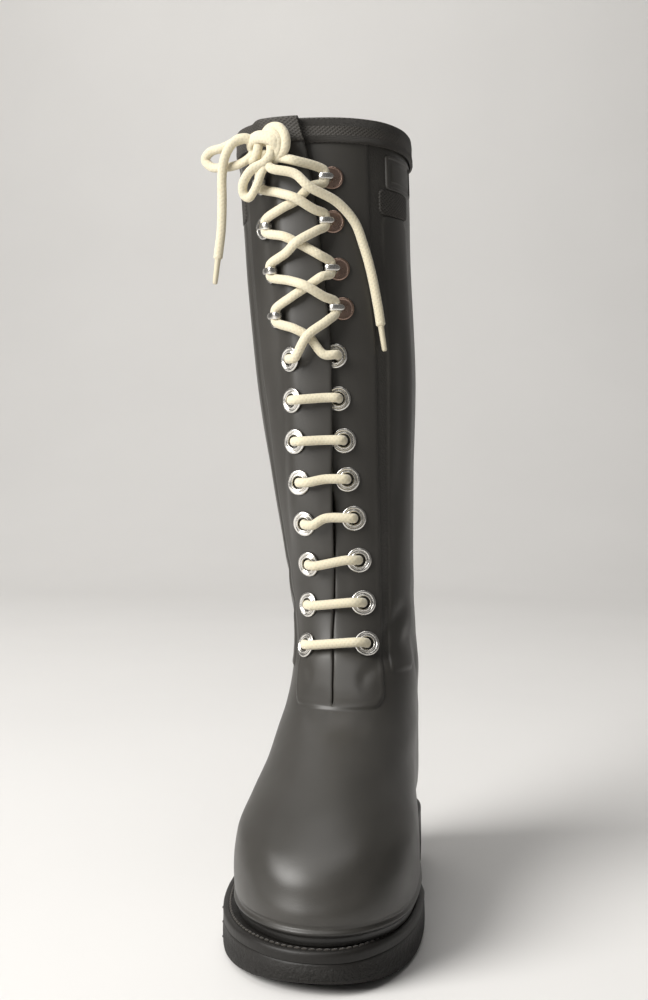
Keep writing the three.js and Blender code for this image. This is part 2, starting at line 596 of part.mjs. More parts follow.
// Local frame on the lacing panel: out of the surface, across to the inner side, and up
function panelFrame(z, arc) {
  const across = spot(z, arc + 1, 0).sub(spot(z, arc - 1, 0)).normalize();
  const rise = spot(z + 1, arc, 0).sub(spot(z - 1, arc, 0));
  const out = across.clone().cross(rise).normalize();
  const up = out.clone().cross(across).normalize();
  return { origin: spot(z, arc, 0), out, across, up };
}

// The same frame moved out until a disc of a radius clears the highest surface beneath it
function settledFrame(z, arc, radius) {
  const frame = panelFrame(z, arc);
  let highest = 0;
  for (let k = 0; k < 24; k += 1) {
    const a = (k / 12) * TURN;
    const reach = k < 12 ? radius : 0.6 * radius;
    const rim = spot(z + reach * Math.sin(a), arc + reach * Math.cos(a), 0);
    const crossesSlit = arc > 0 && arc + reach * Math.cos(a) < 0;
    if (!crossesSlit) highest = Math.max(highest, rim.sub(frame.origin).dot(frame.out));
  }
  frame.origin.addScaledVector(frame.out, highest + SETTLE);
  return frame;
}

function seat(mesh, frame) {
  mesh.quaternion.setFromRotationMatrix(new THREE.Matrix4().makeBasis(frame.across, frame.up, frame.out));
  mesh.position.copy(frame.origin);
  mesh.updateMatrix();
  return mesh;
}

// Rows from the lowest eyelet to the top hook, their pitches as shares of the way between them
const LACING_FOOT_Z = ANKLE_Z + LACING_FOOT_RISE;
const LACING_HEIGHT = BOOT_HEIGHT - LACING_TOP_DROP - LACING_FOOT_Z;
const EYELET_SHARE = 0.087861;
const HOOK_SHARE = 0.096665;
const eyelets = [];
EYELET_ROWS.forEach((row, k) => {
  const z = LACING_FOOT_Z + k * EYELET_SHARE * LACING_HEIGHT;
  eyelets.push({ name: `eyelet_outer_${k + 1}`, z, arc: -row.outer * LACING_WIDTH });
  eyelets.push({ name: `eyelet_inner_${k + 1}`, z: z + row.raise, arc: row.inner * LACING_WIDTH });
});
const hooks = [];
HOOK_ROWS.forEach((row, k) => {
  const z = LACING_FOOT_Z + (1 - (HOOK_ROWS.length - 1 - k) * HOOK_SHARE) * LACING_HEIGHT;
  hooks.push({ name: `hook_outer_${k + 1}`, z, arc: -row.outer * LACING_WIDTH, toSlit: 1 });
  hooks.push({ name: `hook_inner_${k + 1}`, z: z + row.raise, arc: row.inner * LACING_WIDTH, toSlit: -1 });
});

// Materials
const paint = (name, color, roughness, metalness = 0) => new THREE.MeshStandardMaterial({
  name, color, roughness, metalness,
});
const upperRubber = paint('upper_rubber', 0x2a2826, 0.42);
const soleRubber = paint('sole_rubber', 0x24211f, 0.7);
const cloth = paint('insole_cloth', 0x3a3734, 0.9);
const nickel = paint('nickel', 0xb9b5ac, 0.3, 1);
const cotton = paint('cotton', 0xe8dfc8, 0.9);
const bindingTape = paint('binding_tape', 0x34322f, 0.6);

const boot = new THREE.Group();

function add(name, geometry, material) {
  const mesh = new THREE.Mesh(geometry, material);
  mesh.name = name;
  boot.add(mesh);
  return mesh;
}

// Outsole with heel block, arch, toe spring and tread grooves inside a closed rim
const soleLoops = [
  soleRing(0.8, (y) => soleTop(y) - WELT_THICKNESS - CLEAR),
  soleRing(0, (y) => mix(soleBottom(y), soleTop(y), 0.55)),
  soleRing(SOLE_SIDE_BEVEL / 2, (y) => soleBottom(y) + 2),
  soleRing(SOLE_SIDE_BEVEL, soleBottom),
];
const SOLE_CAP = ladder(soleLoops[0].length);
const GROOVE_STATIONS = [0.057, 0.208, 0.245, 0.66, 0.705, 0.795, 0.84, 0.885, 0.925];
let outsole = toManifold(sweptGeometry(soleLoops, SOLE_CAP));
for (const along of GROOVE_STATIONS) {
  const y = BACK_Y - along * SOLE_LENGTH;
  const inner = soleHalfWidth(along, true) - TREAD_RIM;
  const outer = soleHalfWidth(along, false) - TREAD_RIM;
  const top = soleBottom(y) + TREAD_DEPTH;
  const box = new THREE.BoxGeometry(inner + outer, TREAD_GROOVE, top + TREAD_DEPTH);
  box.translate((inner - outer) / 2, y, (top - TREAD_DEPTH) / 2);
  outsole = outsole.subtract(toManifold(box));
}
add('outsole', fromManifold(outsole), soleRubber);

const weltLoops = [
  soleRing(WELT_EDGE_RADIUS, soleTop),
  soleRing(0, (y) => soleTop(y) - WELT_EDGE_RADIUS),
  soleRing(0, (y) => soleTop(y) - WELT_THICKNESS + WELT_EDGE_RADIUS / 2),
  soleRing(WELT_EDGE_RADIUS / 2, (y) => soleTop(y) - WELT_THICKNESS),
];
add('welt', sweptGeometry(weltLoops, SOLE_CAP), soleRubber);

// Insole inside the upper's foot
const INSOLE_POINTS = 44;
function insoleRing(height) {
  return Array.from({ length: INSOLE_POINTS }, (_, i) => {
    const level = FEATHER + INSOLE_THICKNESS / 2;
    const point = skin((i / INSOLE_POINTS) * TURN, level, -WALL - INSOLE_MARGIN);
    point.z = soleTop(point.y) + height;
    return point;
  });
}
const insoleLoops = [insoleRing(CLEAR + INSOLE_THICKNESS), insoleRing(CLEAR)];
add('insole', sweptGeometry(insoleLoops, ladder(INSOLE_POINTS)), cloth);

// Upper with its eyelet holes
const BORE_SIDES = 6;
const BORE_ABOVE = 2.4;
const EYELET_BORE = (EYELET_HOLE + EYELET_BARREL + CLEAR) / Math.cos(Math.PI / BORE_SIDES);
for (const eyelet of eyelets) {
  eyelet.frame = settledFrame(eyelet.z, eyelet.arc, EYELET_RADIUS);
}
let upper = toManifold(upperGeometry());
for (const eyelet of eyelets) {
  const depth = 2 * (WALL + PANEL_STEP);
  const hole = new THREE.CylinderGeometry(EYELET_BORE, EYELET_BORE, depth, BORE_SIDES);
  hole.rotateX(Math.PI / 2);
  hole.translate(0, 0, BORE_ABOVE - depth / 2);
  const cutter = seat(new THREE.Mesh(hole), panelFrame(eyelet.z, eyelet.arc));
  hole.applyMatrix4(cutter.matrix);
  upper = upper.subtract(toManifold(hole));
}
add('upper', fromManifold(upper), upperRubber);

// Tongue behind the slit
const TONGUE_ARCS = [-26, -18, -12, -5, 2, 10, 18, 26];
const TONGUE_OFFSET = -WALL - 2.4 * CLEAR;
const TONGUE_TOP_Z = BOOT_HEIGHT - BINDING_HEIGHT - TONGUE_MARGIN;
const tongueRows = innerRows.filter((z) => z > FEATHER + 0.8 * INSTEP_RISE && z < TONGUE_TOP_Z);
const tongueLoops = tongueRows.map((z) => {
  const line = (offset) => TONGUE_ARCS.map((arc) => skin(spotAngle(z, arc), z, offset));
  return [...line(TONGUE_OFFSET), ...line(TONGUE_OFFSET - TONGUE_THICKNESS).reverse()];
});
const tongueCap = [];
for (let k = 0; k < TONGUE_ARCS.length - 1; k += 1) {
  const other = 2 * TONGUE_ARCS.length - 1 - k;
  tongueCap.push([k, other, k + 1], [k + 1, other, other - 1]);
}
add('tongue', sweptGeometry(tongueLoops, tongueCap), upperRubber);

// Binding over the collar's rim, from one end of the lap round to the other
const bindingLoops = upperColumns.map((column) => {
  const low = BOOT_HEIGHT - BINDING_HEIGHT;
  const outside = (column.panel ? PANEL_STEP : 0) + CLEAR;
  const inside = -WALL - CLEAR;
  const point = (z, offset, rise) => {
    const p = columnPoint(column, z, offset);
    p.z += rise;
    return p;
  };
  return [
    point(low, outside, 0),
    point(low, outside + BINDING_THICKNESS, 0),
    point(COLLAR_Z, outside + BINDING_THICKNESS, CLEAR + BINDING_THICKNESS),
    point(COLLAR_Z, inside - BINDING_THICKNESS, CLEAR + BINDING_THICKNESS),
    point(low, inside - BINDING_THICKNESS, 0),
    point(low, inside, 0),
    point(COLLAR_Z, inside, CLEAR),
    point(COLLAR_Z, outside, CLEAR),
  ];
});
const BINDING_CAP = [[0, 7, 1], [1, 7, 2], [2, 7, 6], [2, 6, 3], [3, 6, 4], [4, 6, 5]];
add('binding', sweptGeometry(bindingLoops, BINDING_CAP), bindingTape);

// Plates on both sides: arcs from the front edge of the side strip, away from the slit
const PLATES = [
  { name: 'badge', from: 3, to: 41, bottom: BADGE_BOTTOM_Z, top: BADGE_TOP_Z, thick: BADGE_THICKNESS },
  { name: 'patch', from: -3, to: 29, bottom: PATCH_BOTTOM_Z, top: PATCH_TOP_Z, thick: PATCH_THICKNESS },
];
const PLATE_STATIONS = [0, 0.25, 0.5, 0.75, 1];
for (const plate of PLATES) {
  for (const side of ['outer', 'inner']) {
    const edge = side === 'outer' ? outerStripEdge : innerStripEdge;
    const loops = PLATE_STATIONS.map((t) => {
      const at = (z, offset) => skin(edge(z, mix(plate.from, plate.to, t)), z, offset);
      return [
        at(plate.bottom, CLEAR),
        at(plate.bottom + plate.thick / 2, CLEAR + plate.thick),
        at(plate.top - plate.thick / 2, CLEAR + plate.thick),
        at(plate.top, CLEAR),
      ];
    });
    add(`${plate.name}_${side}`, sweptGeometry(loops, [[0, 3, 1], [1, 3, 2]]), upperRubber);
  }
}

// Eyelets
const EYELET_SIDES = 8;
const eyeletProfile = [
  [EYELET_HOLE, -WALL - PANEL_STEP + CLEAR],
  [EYELET_HOLE + EYELET_BARREL, -WALL - PANEL_STEP + CLEAR],
  [EYELET_HOLE + EYELET_BARREL, CLEAR],
  [EYELET_RADIUS, CLEAR],
  [EYELET_RADIUS - EYELET_HEIGHT / 2, CLEAR + EYELET_HEIGHT],
  [EYELET_HOLE, CLEAR + EYELET_HEIGHT],
  [EYELET_HOLE, -WALL - PANEL_STEP + CLEAR],
].map(([radius, height]) => new THREE.Vector2(radius, height));
for (const eyelet of eyelets) {
  const ring = new THREE.LatheGeometry(eyeletProfile, EYELET_SIDES);
  ring.rotateX(Math.PI / 2);
  seat(add(eyelet.name, ring, nickel), eyelet.frame);
}

// Hooks: a base disc with a strip that rises at its slit side and curls back over the lace
const HOOK_SIDES = 10;
const HOOK_LOW = CLEAR + HOOK_DISC;
const HOOK_TOP = HOOK_LOW + HOOK_INSIDE;
const HOOK_FACE = HOOK_SEAT + LACE_RADIUS + CLEAR;
const HOOK_BACK = HOOK_FACE + HOOK_DISC;
const HOOK_BEND = 1;
const STRIP_RAISE = 0.1;
const hookOutline = [
  [0, CLEAR + STRIP_RAISE],
  [HOOK_BACK - HOOK_BEND, CLEAR + STRIP_RAISE],
  [HOOK_BACK, HOOK_LOW + HOOK_BEND / 2],
  [HOOK_BACK, HOOK_TOP - HOOK_BEND / 2],
  [HOOK_BACK - HOOK_BEND, HOOK_TOP + HOOK_DISC],
  [-HOOK_BEND / 2, HOOK_TOP],
  [-HOOK_BEND / 2, HOOK_TOP - HOOK_DISC],
  [HOOK_FACE - HOOK_BEND, HOOK_TOP],
  [HOOK_FACE, HOOK_TOP - HOOK_BEND],
  [HOOK_FACE, HOOK_LOW + HOOK_BEND],
  [HOOK_FACE - HOOK_BEND, HOOK_LOW + STRIP_RAISE],
  [0, HOOK_LOW + STRIP_RAISE],
].map(([reach, height]) => new THREE.Vector2(reach, height));

function hookGeometry(toSlit) {
  const shape = new THREE.Shape(hookOutline);
  const strip = new THREE.ExtrudeGeometry(shape, { depth: HOOK_WIDTH, bevelEnabled: false });
  strip.translate(0, 0, -HOOK_WIDTH / 2);
  strip.rotateX(Math.PI / 2);
  const disc = new THREE.CylinderGeometry(HOOK_RADIUS, HOOK_RADIUS, HOOK_DISC, HOOK_SIDES);
  disc.rotateX(Math.PI / 2);
  disc.translate(0, 0, CLEAR + HOOK_DISC / 2);
  const geometry = fromManifold(toManifold(strip).add(toManifold(disc)));
  if (toSlit < 0) geometry.rotateZ(Math.PI);
  return geometry;
}
for (const hook of hooks) {
  hook.frame = settledFrame(hook.z, hook.arc, HOOK_RADIUS);
  seat(add(hook.name, hookGeometry(hook.toSlit), nickel), hook.frame);
}

// Lace
function cordGeometry(points, radius, sides, steps) {
  const ring = Array.from({ length: sides }, (_, k) => {
    const a = (k / sides) * TURN;
    return new THREE.Vector2(radius * Math.cos(a), radius * Math.sin(a));
  });
  const path = new THREE.CatmullRomCurve3(points, false, 'centripetal');
  return new THREE.ExtrudeGeometry(new THREE.Shape(ring), { steps, extrudePath: path, bevelEnabled: false });
}

const LACE_START = CLEAR + EYELET_HEIGHT + CLEAR;
const LACE_SIDES = 8;
const BAR_SIDES = 6;
const LAP_SIDE = -1.2;
const LAP_OVER = LACE_SEAT + 0.25 * LACE_RADIUS;
const OVER_EYELET = LACE_START + LACE_RADIUS + CLEAR / 2;
const byName = Object.fromEntries([...eyelets, ...hooks].map((piece) => [piece.name, piece]));

// A lace's end at an eyelet, in the eyelet's own frame: across, up and out of its face
const inFrame = (frame, u, v, h) => frame.origin.clone()
  .addScaledVector(frame.across, u)
  .addScaledVector(frame.up, v)
  .addScaledVector(frame.out, h);

function plainEnd(eyelet, way) {
  return [
    inFrame(eyelet.frame, 0, 0, LACE_START),
    inFrame(eyelet.frame, way * 0.5 * LACE_RADIUS, 0, LACE_START + 0.7 * LACE_RADIUS),
    inFrame(eyelet.frame, way * 1.4 * LACE_RADIUS, 0, OVER_EYELET),
    inFrame(eyelet.frame, way * (EYELET_RADIUS + 2 * CLEAR), 0, OVER_EYELET),
  ];
}

// Where the lap covers the hole in part, the lace comes out past the lap's edge and turns over it
function lappedEnd(eyelet) {
  const lift = lapLift(eyelet.z, -SLIT_GAP);
  const past = Math.max(0, LACE_RADIUS + 3 * CLEAR - eyelet.arc);
  return [
    inFrame(eyelet.frame, past, 0, LACE_START),
    inFrame(eyelet.frame, past, 0, LACE_START + 0.8 * LACE_RADIUS),
    inFrame(eyelet.frame, past - 0.45 * LACE_RADIUS, 0, lift + 0.8 * LACE_RADIUS),
    spot(eyelet.z, 3 * LAP_SIDE, LACE_SEAT),
  ];
}

const outerEnd = (eyelet) => plainEnd(eyelet, 1);
const isLapped = (eyelet) => lapLift(eyelet.z, -SLIT_GAP) > WALL;
const innerEnd = (eyelet) => (isLapped(eyelet) ? lappedEnd(eyelet) : plainEnd(eyelet, -1));

const BAR_COUNT = EYELET_ROWS.length - 1;
for (let k = 1; k <= BAR_COUNT; k += 1) {
  const outer = byName[`eyelet_outer_${k}`];
  const inner = byName[`eyelet_inner_${k}`];
  const path = [...outerEnd(outer), ...innerEnd(inner).reverse()];
  add(`lace_bar_${k}`, cordGeometry(path, LACE_RADIUS, BAR_SIDES, 7), cotton);
}

// The lace through a hook, from below to above
function throughHook(hook) {
  const { origin, across, up, out } = hook.frame;
  const at = (rise, height) => origin.clone()
    .addScaledVector(across, hook.toSlit * HOOK_SEAT)
    .addScaledVector(up, rise)
    .addScaledVector(out, height);
  const height = HOOK_LOW + CLEAR + LACE_RADIUS;
  return [at(-HOOK_WIDTH, height), at(0, height), at(HOOK_WIDTH, height)];
}

// Each crossing lies a share of the way from one outer fitting up to the next
const crossingAt = (low, high, share, arc) => ({ z: mix(byName[low].z, byName[high].z, share), arc });
const CROSSINGS = [
  crossingAt('eyelet_outer_8', 'hook_outer_1', 0.473373, -11),
  crossingAt('hook_outer_1', 'hook_outer_2', 0.581395, -9.5),
  crossingAt('hook_outer_2', 'hook_outer_3', 0.542636, -11),
  crossingAt('hook_outer_3', 'hook_outer_4', 0.503876, -9),
];

// Knot on the outer flap at the collar
const KNOT_ARC = -19;
const knotFrame = panelFrame(BOOT_HEIGHT - 0.87 * BINDING_HEIGHT, KNOT_ARC);
const KNOT_SEAT = CLEAR + BINDING_THICKNESS + CLEAR + KNOT_DEPTH / 2;
const fromKnot = ([x, y, z]) => knotFrame.origin.clone()
  .addScaledVector(knotFrame.across, x)
  .addScaledVector(knotFrame.up, y)
  .addScaledVector(knotFrame.out, KNOT_SEAT + z);

// A strand between a crossing and a hook of the outer flap, down the lap's slope
const SLOPE_ARC = -FLAP_OVERLAP - 0.5;
const slope = (crossing, hook) => spot(mix(crossing.z, hook.z, 0.4), SLOPE_ARC, LACE_SEAT + 2.8 * CLEAR);
const overPath = [
  ...outerEnd(byName.eyelet_outer_8),
  spot(CROSSINGS[0].z, CROSSINGS[0].arc, LACE_OVER),
  spot(mix(CROSSINGS[0].z, byName.hook_inner_1.z, 0.55), LAP_SIDE, LAP_OVER),
  ...throughHook(byName.hook_inner_1),
  spot(mix(CROSSINGS[1].z, byName.hook_inner_1.z, 0.55), LAP_SIDE, LAP_OVER),
  spot(CROSSINGS[1].z, CROSSINGS[1].arc, LACE_OVER),
  slope(CROSSINGS[1], byName.hook_outer_2),
  ...throughHook(byName.hook_outer_2),
  slope(CROSSINGS[2], byName.hook_outer_2),
  spot(CROSSINGS[2].z, CROSSINGS[2].arc, LACE_OVER),
  spot(mix(CROSSINGS[2].z, byName.hook_inner_3.z, 0.55), LAP_SIDE, LAP_OVER),
  ...throughHook(byName.hook_inner_3),
  spot(mix(CROSSINGS[3].z, byName.hook_inner_3.z, 0.55), LAP_SIDE, LAP_OVER),
  spot(CROSSINGS[3].z, CROSSINGS[3].arc, LACE_OVER),
  slope(CROSSINGS[3], byName.hook_outer_4),
  ...throughHook(byName.hook_outer_4),
  fromKnot([-7.2, -8.4, -2.2]),
];
const underPath = [
  ...innerEnd(byName.eyelet_inner_8),
  spot(CROSSINGS[0].z, CROSSINGS[0].arc, LACE_SEAT),
  slope(CROSSINGS[0], byName.hook_outer_1),
  ...throughHook(byName.hook_outer_1),
  slope(CROSSINGS[1], byName.hook_outer_1),
  spot(CROSSINGS[1].z, CROSSINGS[1].arc, LACE_SEAT),
  spot(mix(CROSSINGS[1].z, byName.hook_inner_2.z, 0.5), LAP_SIDE, LAP_OVER),
  ...throughHook(byName.hook_inner_2),
  spot(mix(CROSSINGS[2].z, byName.hook_inner_2.z, 0.5), LAP_SIDE, LAP_OVER),
  spot(CROSSINGS[2].z, CROSSINGS[2].arc, LACE_SEAT),
  slope(CROSSINGS[2], byName.hook_outer_3),
  ...throughHook(byName.hook_outer_3),
  slope(CROSSINGS[3], byName.hook_outer_3),
  spot(CROSSINGS[3].z, CROSSINGS[3].arc, LACE_SEAT),
  spot(mix(CROSSINGS[3].z, byName.hook_inner_4.z, 0.5), LAP_SIDE, LAP_OVER),
  ...throughHook(byName.hook_inner_4),
  spot(byName.hook_inner_4.z + 9, 1.5 * LAP_SIDE, LACE_SEAT + 1),
  fromKnot([11.6, 1, -1.5]),
];
const over = toManifold(cordGeometry(overPath, LACE_RADIUS, BAR_SIDES, 44));
const under = toManifold(cordGeometry(underPath, LACE_RADIUS, BAR_SIDES, 44));
add('lace_crossings', fromManifold(over.add(under)), cotton);

const knotShape = new THREE.SphereGeometry(1, 10, 6);
knotShape.scale(KNOT_WIDTH / 2, KNOT_HEIGHT / 2, KNOT_DEPTH / 2);
knotShape.translate(0, 0, KNOT_SEAT);
seat(add('knot', knotShape, cotton), knotFrame);

// Loops and ends of the bow: points across, up and out from the knot's centre
const LOOP_LONG = [[-9.1, 1.8, 0], [-15, 1, 0.5], [-25, -3.5, 1], [-34.5, -8.6, 0.5], [-38, -12.3, 0],
  [-34, -15.8, -0.5], [-26, -16.6, -0.5], [-16, -14, 0], [-11.5, -8.5, -0.5], [-8.8, -3.8, -1]];
const LOOP_SHORT = [[-3.2, -8, 3], [-6.2, -12.5, 5.6], [-9.8, -17, 5.6], [-14.9, -23.5, 4], [-16, -29, 2.5],
  [-12.6, -32.7, 2], [-8, -29, 2], [-4, -20, 2], [0, -13, 1.5], [3, -8.4, 1]];
const END_OUTER = [[-6.4, 6.4, 3], [-12, 6, 6], [-18, 2.5, 7], [-23, -3, 6.8], [-27, -12, 6.5], [-29, -22, 5],
  [-30, -34, 3.5], [-31, -50, 3], [-31.6, -66, 3]];
const END_INNER = [
  fromKnot([9.2, -3.6, 2]),
  fromKnot([12.5, -9, 4.5]),
  spot(byName.hook_inner_4.z - 0.5, -7, 9.5),
  spot(byName.hook_inner_4.z - 8, LAP_SIDE, 9.5),
  spot(byName.hook_inner_4.z - 15.5, 11, 8),
  spot(byName.hook_inner_4.z - 26, 19, 4.6),
  spot(byName.hook_inner_4.z - 39, 22.7, LACE_SEAT + CLEAR),
  spot(byName.hook_inner_4.z - 54, 25.2, LACE_SEAT + CLEAR),
  spot(byName.hook_inner_4.z - 74, 27, LACE_SEAT + CLEAR),
  spot(byName.hook_inner_4.z - 84, 27.6, LACE_SEAT + CLEAR),
];

function addCord(name, points, steps) {
  add(name, cordGeometry(points, LACE_RADIUS, LACE_SIDES, steps), cotton);
}

function addAglet(name, points) {
  const end = points.at(-1);
  const direction = end.clone().sub(points.at(-2)).normalize();
  const start = end.clone().addScaledVector(direction, CLEAR);
  const tip = start.clone().addScaledVector(direction, AGLET_LENGTH);
  const tube = new THREE.CylinderGeometry(AGLET_DIAMETER / 2, AGLET_DIAMETER / 2, AGLET_LENGTH, LACE_SIDES);
  const mesh = add(name, tube, cotton);
  mesh.quaternion.setFromUnitVectors(new THREE.Vector3(0, 1, 0), direction);
  mesh.position.copy(start.add(tip).multiplyScalar(0.5));
}

addCord('loop_long', LOOP_LONG.map(fromKnot), 11);
addCord('loop_short', LOOP_SHORT.map(fromKnot), 10);
addCord('lace_end_outer', END_OUTER.map(fromKnot), 11);
addCord('lace_end_inner', END_INNER, 14);
addAglet('aglet_outer', END_OUTER.map(fromKnot));
addAglet('aglet_inner', END_INNER);

export default boot;
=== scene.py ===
import math

import bmesh
import bpy
import numpy as np
from bpy.props import FloatProperty, FloatVectorProperty, IntProperty, PointerProperty
from mathutils import Matrix, Vector


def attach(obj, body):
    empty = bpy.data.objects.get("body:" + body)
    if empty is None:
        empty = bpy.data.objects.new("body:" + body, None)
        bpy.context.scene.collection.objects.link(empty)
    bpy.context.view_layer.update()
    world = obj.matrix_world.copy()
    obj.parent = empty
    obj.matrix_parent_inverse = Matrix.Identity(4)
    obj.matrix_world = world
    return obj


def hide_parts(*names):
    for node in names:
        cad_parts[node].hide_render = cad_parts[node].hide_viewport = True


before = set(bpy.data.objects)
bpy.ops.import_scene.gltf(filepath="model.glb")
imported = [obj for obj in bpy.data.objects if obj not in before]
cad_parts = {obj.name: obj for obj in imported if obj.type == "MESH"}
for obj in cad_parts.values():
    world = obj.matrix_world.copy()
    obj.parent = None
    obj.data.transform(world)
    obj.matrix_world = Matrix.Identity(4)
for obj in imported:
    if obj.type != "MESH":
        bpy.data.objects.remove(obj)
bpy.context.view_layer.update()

bl_info = {
    "name": "Laced rubber boot",
    "version": (1, 0, 0),
    "blender": (4, 5, 0),
    "location": "View3D > Sidebar > Boot",
    "description": "Dresses a tall laced rubber boot: rubber, tape, nickel fittings and a cotton lace",
    "category": "Add Mesh",
}

MM = 0.001
TURN = 2 * math.pi

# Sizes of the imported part, in millimetres
SOLE_LENGTH = 272
SOLE_BALL_WIDTH = 105.5
SOLE_HEEL_WIDTH = 76
SOLE_WAIST_DEPTH = 5
HEEL_FLAT = 72
HEEL_MARGIN = 4
HEEL_HEIGHT = 37.5
FOREFOOT_HEIGHT = 22.5
TOE_SPRING = 6
ARCH_CLEARANCE = 13
WELT_THICKNESS = 5.5
WELT_MARGIN = 7
TREAD_DEPTH = 4
TREAD_RIM = 9
STITCH_INSET = 3.75
INSOLE_THICKNESS = 4
BOOT_HEIGHT = 448
INSTEP_RISE = 103
SHAFT_WIDTH = 102
SHAFT_DEPTH = 128
WALL = 2.3
PANEL_STEP = 1
STRIP_STEP = 0.8
STRIP_WIDTH = 26
EDGE_STEP_WIDTH = 0.9
PANEL_BOTTOM_RISE = 93
PANEL_CORNER = 7
SLIT_GAP = 0.6
FLAP_OVERLAP = 17
FLAP_RAMP = 14
BINDING_HEIGHT = 15
BINDING_THICKNESS = 1
TONGUE_THICKNESS = 1.6
TONGUE_REACH = 26
CLEAR = 0.35
EYELET_RADIUS = 7.2
EYELET_HOLE = 3.7
EYELET_HEIGHT = 0.8
LACING_FOOT_RISE = 19
LACING_TOP_DROP = 36.25
HOOK_RADIUS = 6.6
HOOK_DISC = 0.8
HOOK_WIDTH = 4.4
HOOK_SEATS = {1: 5.4, -1: 4.4}
LACE_DIAMETER = 4.8
LACE_RADIUS = LACE_DIAMETER / 2
BADGE_HEIGHT = 21
PATCH_HEIGHT = 19
LACING_WIDTH = 36.7

BACK_Y = HEEL_FLAT / 2 + HEEL_MARGIN
UPPER_LENGTH = SOLE_LENGTH - 2 * WELT_MARGIN
UPPER_WIDTH = SOLE_BALL_WIDTH - 1.35 * WELT_MARGIN
UPPER_BACK_Y = BACK_Y - WELT_MARGIN
FEATHER = FOREFOOT_HEIGHT + CLEAR
ANKLE_Z = FEATHER + INSTEP_RISE
COLLAR_Z = BOOT_HEIGHT - BINDING_THICKNESS - CLEAR
SHAFT_RISE = COLLAR_Z - ANKLE_Z
PANEL_BOTTOM_Z = FEATHER + PANEL_BOTTOM_RISE
SLIT_BOTTOM_Z = PANEL_BOTTOM_Z + EDGE_STEP_WIDTH
LAP_LIFT = WALL + PANEL_STEP + EYELET_HEIGHT + 4.5 * CLEAR
COLLAR_LIFT = WALL + PANEL_STEP + 2 * BINDING_THICKNESS + 3 * CLEAR
STRIP_BOTTOM_Z = ANKLE_Z + 6
PATCH_TOP_Z = BOOT_HEIGHT - 39
PATCH_BOTTOM_Z = PATCH_TOP_Z - PATCH_HEIGHT + 4
BADGE_TOP_Z = BOOT_HEIGHT - BINDING_HEIGHT - 3
BADGE_BOTTOM_Z = BADGE_TOP_Z - BADGE_HEIGHT
STRIP_TOP_Z = PATCH_BOTTOM_Z - 1
BINDING_LOW_Z = BOOT_HEIGHT - BINDING_HEIGHT

# Sole outline: along, ball, outer waist, inner waist
OUTLINE = np.array([
    (0, 0, 0, 0), (0.166, 0, 0, 0), (0.309, 0.03, -0.4, 0.18), (0.4, 0.16, -0.9, 0.94),
    (0.48, 0.5, -1.1, 1), (0.56, 0.84, -0.5, 0.5), (0.63, 1, 0, 0),
])
HEEL_SHARE, BALL_SHARE, BALL_OUTER = 0.166, 0.63, 0.567
TOE_POWER_OUTER, TOE_POWER_INNER = 2.1, 2.25
HEEL_POWER, REAR_POWER = 2.3, 2.2

# Sole profile: along, rise, spring, arch
PROFILE = np.array([
    (0, 1, 0, 0), (0.218, 0.9, 0, 0), (0.28, 0.83, 0, 0), (0.305, 0.8, 0, 1), (0.367, 0.68, 0, 0.97),
    (0.455, 0.42, 0, 0.75), (0.53, 0.21, 0, 0.38), (0.6, 0.08, 0, 0.08), (0.64, 0.03, 0, 0),
    (0.7, -0.03, 0, 0), (0.78, -0.09, 0, 0), (0.85, -0.14, 0.14, 0), (0.93, -0.25, 0.5, 0), (1, -0.48, 1, 0),
])

# Foot sections: level, front, back, heel, ball, heel end, ball end, dip, nose
FOOT = np.array([
    (0, 1, 0, 0.34, 0.48, 0.16, 0.65, 0.03, 2.15),
    (0.12, 1.006, -0.007, 0.365, 0.5, 0.17, 0.69, 0.03, 2.2),
    (0.235, 0.992, -0.011, 0.378, 0.5, 0.18, 0.715, 0.026, 2.25),
    (0.353, 0.957, -0.011, 0.382, 0.492, 0.19, 0.725, 0.02, 2.25),
    (0.49, 0.885, -0.011, 0.383, 0.452, 0.22, 0.69, 0.012, 2.1),
    (0.627, 0.787, -0.007, 0.383, 0.42, 0.26, 0.62, 0.005, 2),
    (0.745, 0.693, -0.004, 0.386, 0.409, 0.32, 0.6, 0, 2),
    (0.863, 0.603, 0, 0.382, 0.391, 0.38, 0.58, 0, 2.1),
])
WANDER = np.array([(0, 0), (0.2, 0), (0.45, -0.018), (0.7, -0.045), (1, -0.004)])

# Shaft sections: level, front, back, half, lean, heel end, ball end, nose
SHAFT = np.array([
    (0, 0.805, 0.242, 0.36, 0.004, 0.43, 0.56, 2.2), (0.069, 0.672, 0.227, 0.349, -0.004, 0.46, 0.54, 2.3),
    (0.178, 0.625, 0.234, 0.363, -0.032, 0.48, 0.52, 2.4), (0.35, 0.609, 0.289, 0.41, -0.082, 0.48, 0.52, 2.4),
    (0.569, 0.594, 0.367, 0.47, -0.133, 0.48, 0.52, 2.4), (0.788, 0.578, 0.414, 0.488, -0.187, 0.48, 0.52, 2.4),
    (1, 0.5625, 0.4375, 0.5, -0.223, 0.48, 0.52, 2.4),
])

# Lines up the upper in degrees: level, slit, panel outer, panel inner, strip outer, strip inner
LINES = np.array([
    (0, 184, 222, 150, 236, 140), (0.9, 187, 224, 150, 236, 140), (1.069, 189.5, 229, 154, 240, 145.5),
    (1.14, 186, 231, 154, 241, 144), (1.31, 181.2, 231.7, 152.5, 242, 142), (1.49, 178.8, 229.3, 153, 240, 142.6),
    (1.6, 177.8, 228.8, 152.7, 239, 142), (1.78, 179.1, 228.3, 152, 238.5, 141),
    (1.93, 181.4, 228, 151.5, 238, 140), (2, 184.8, 228, 151.5, 238, 140),
])

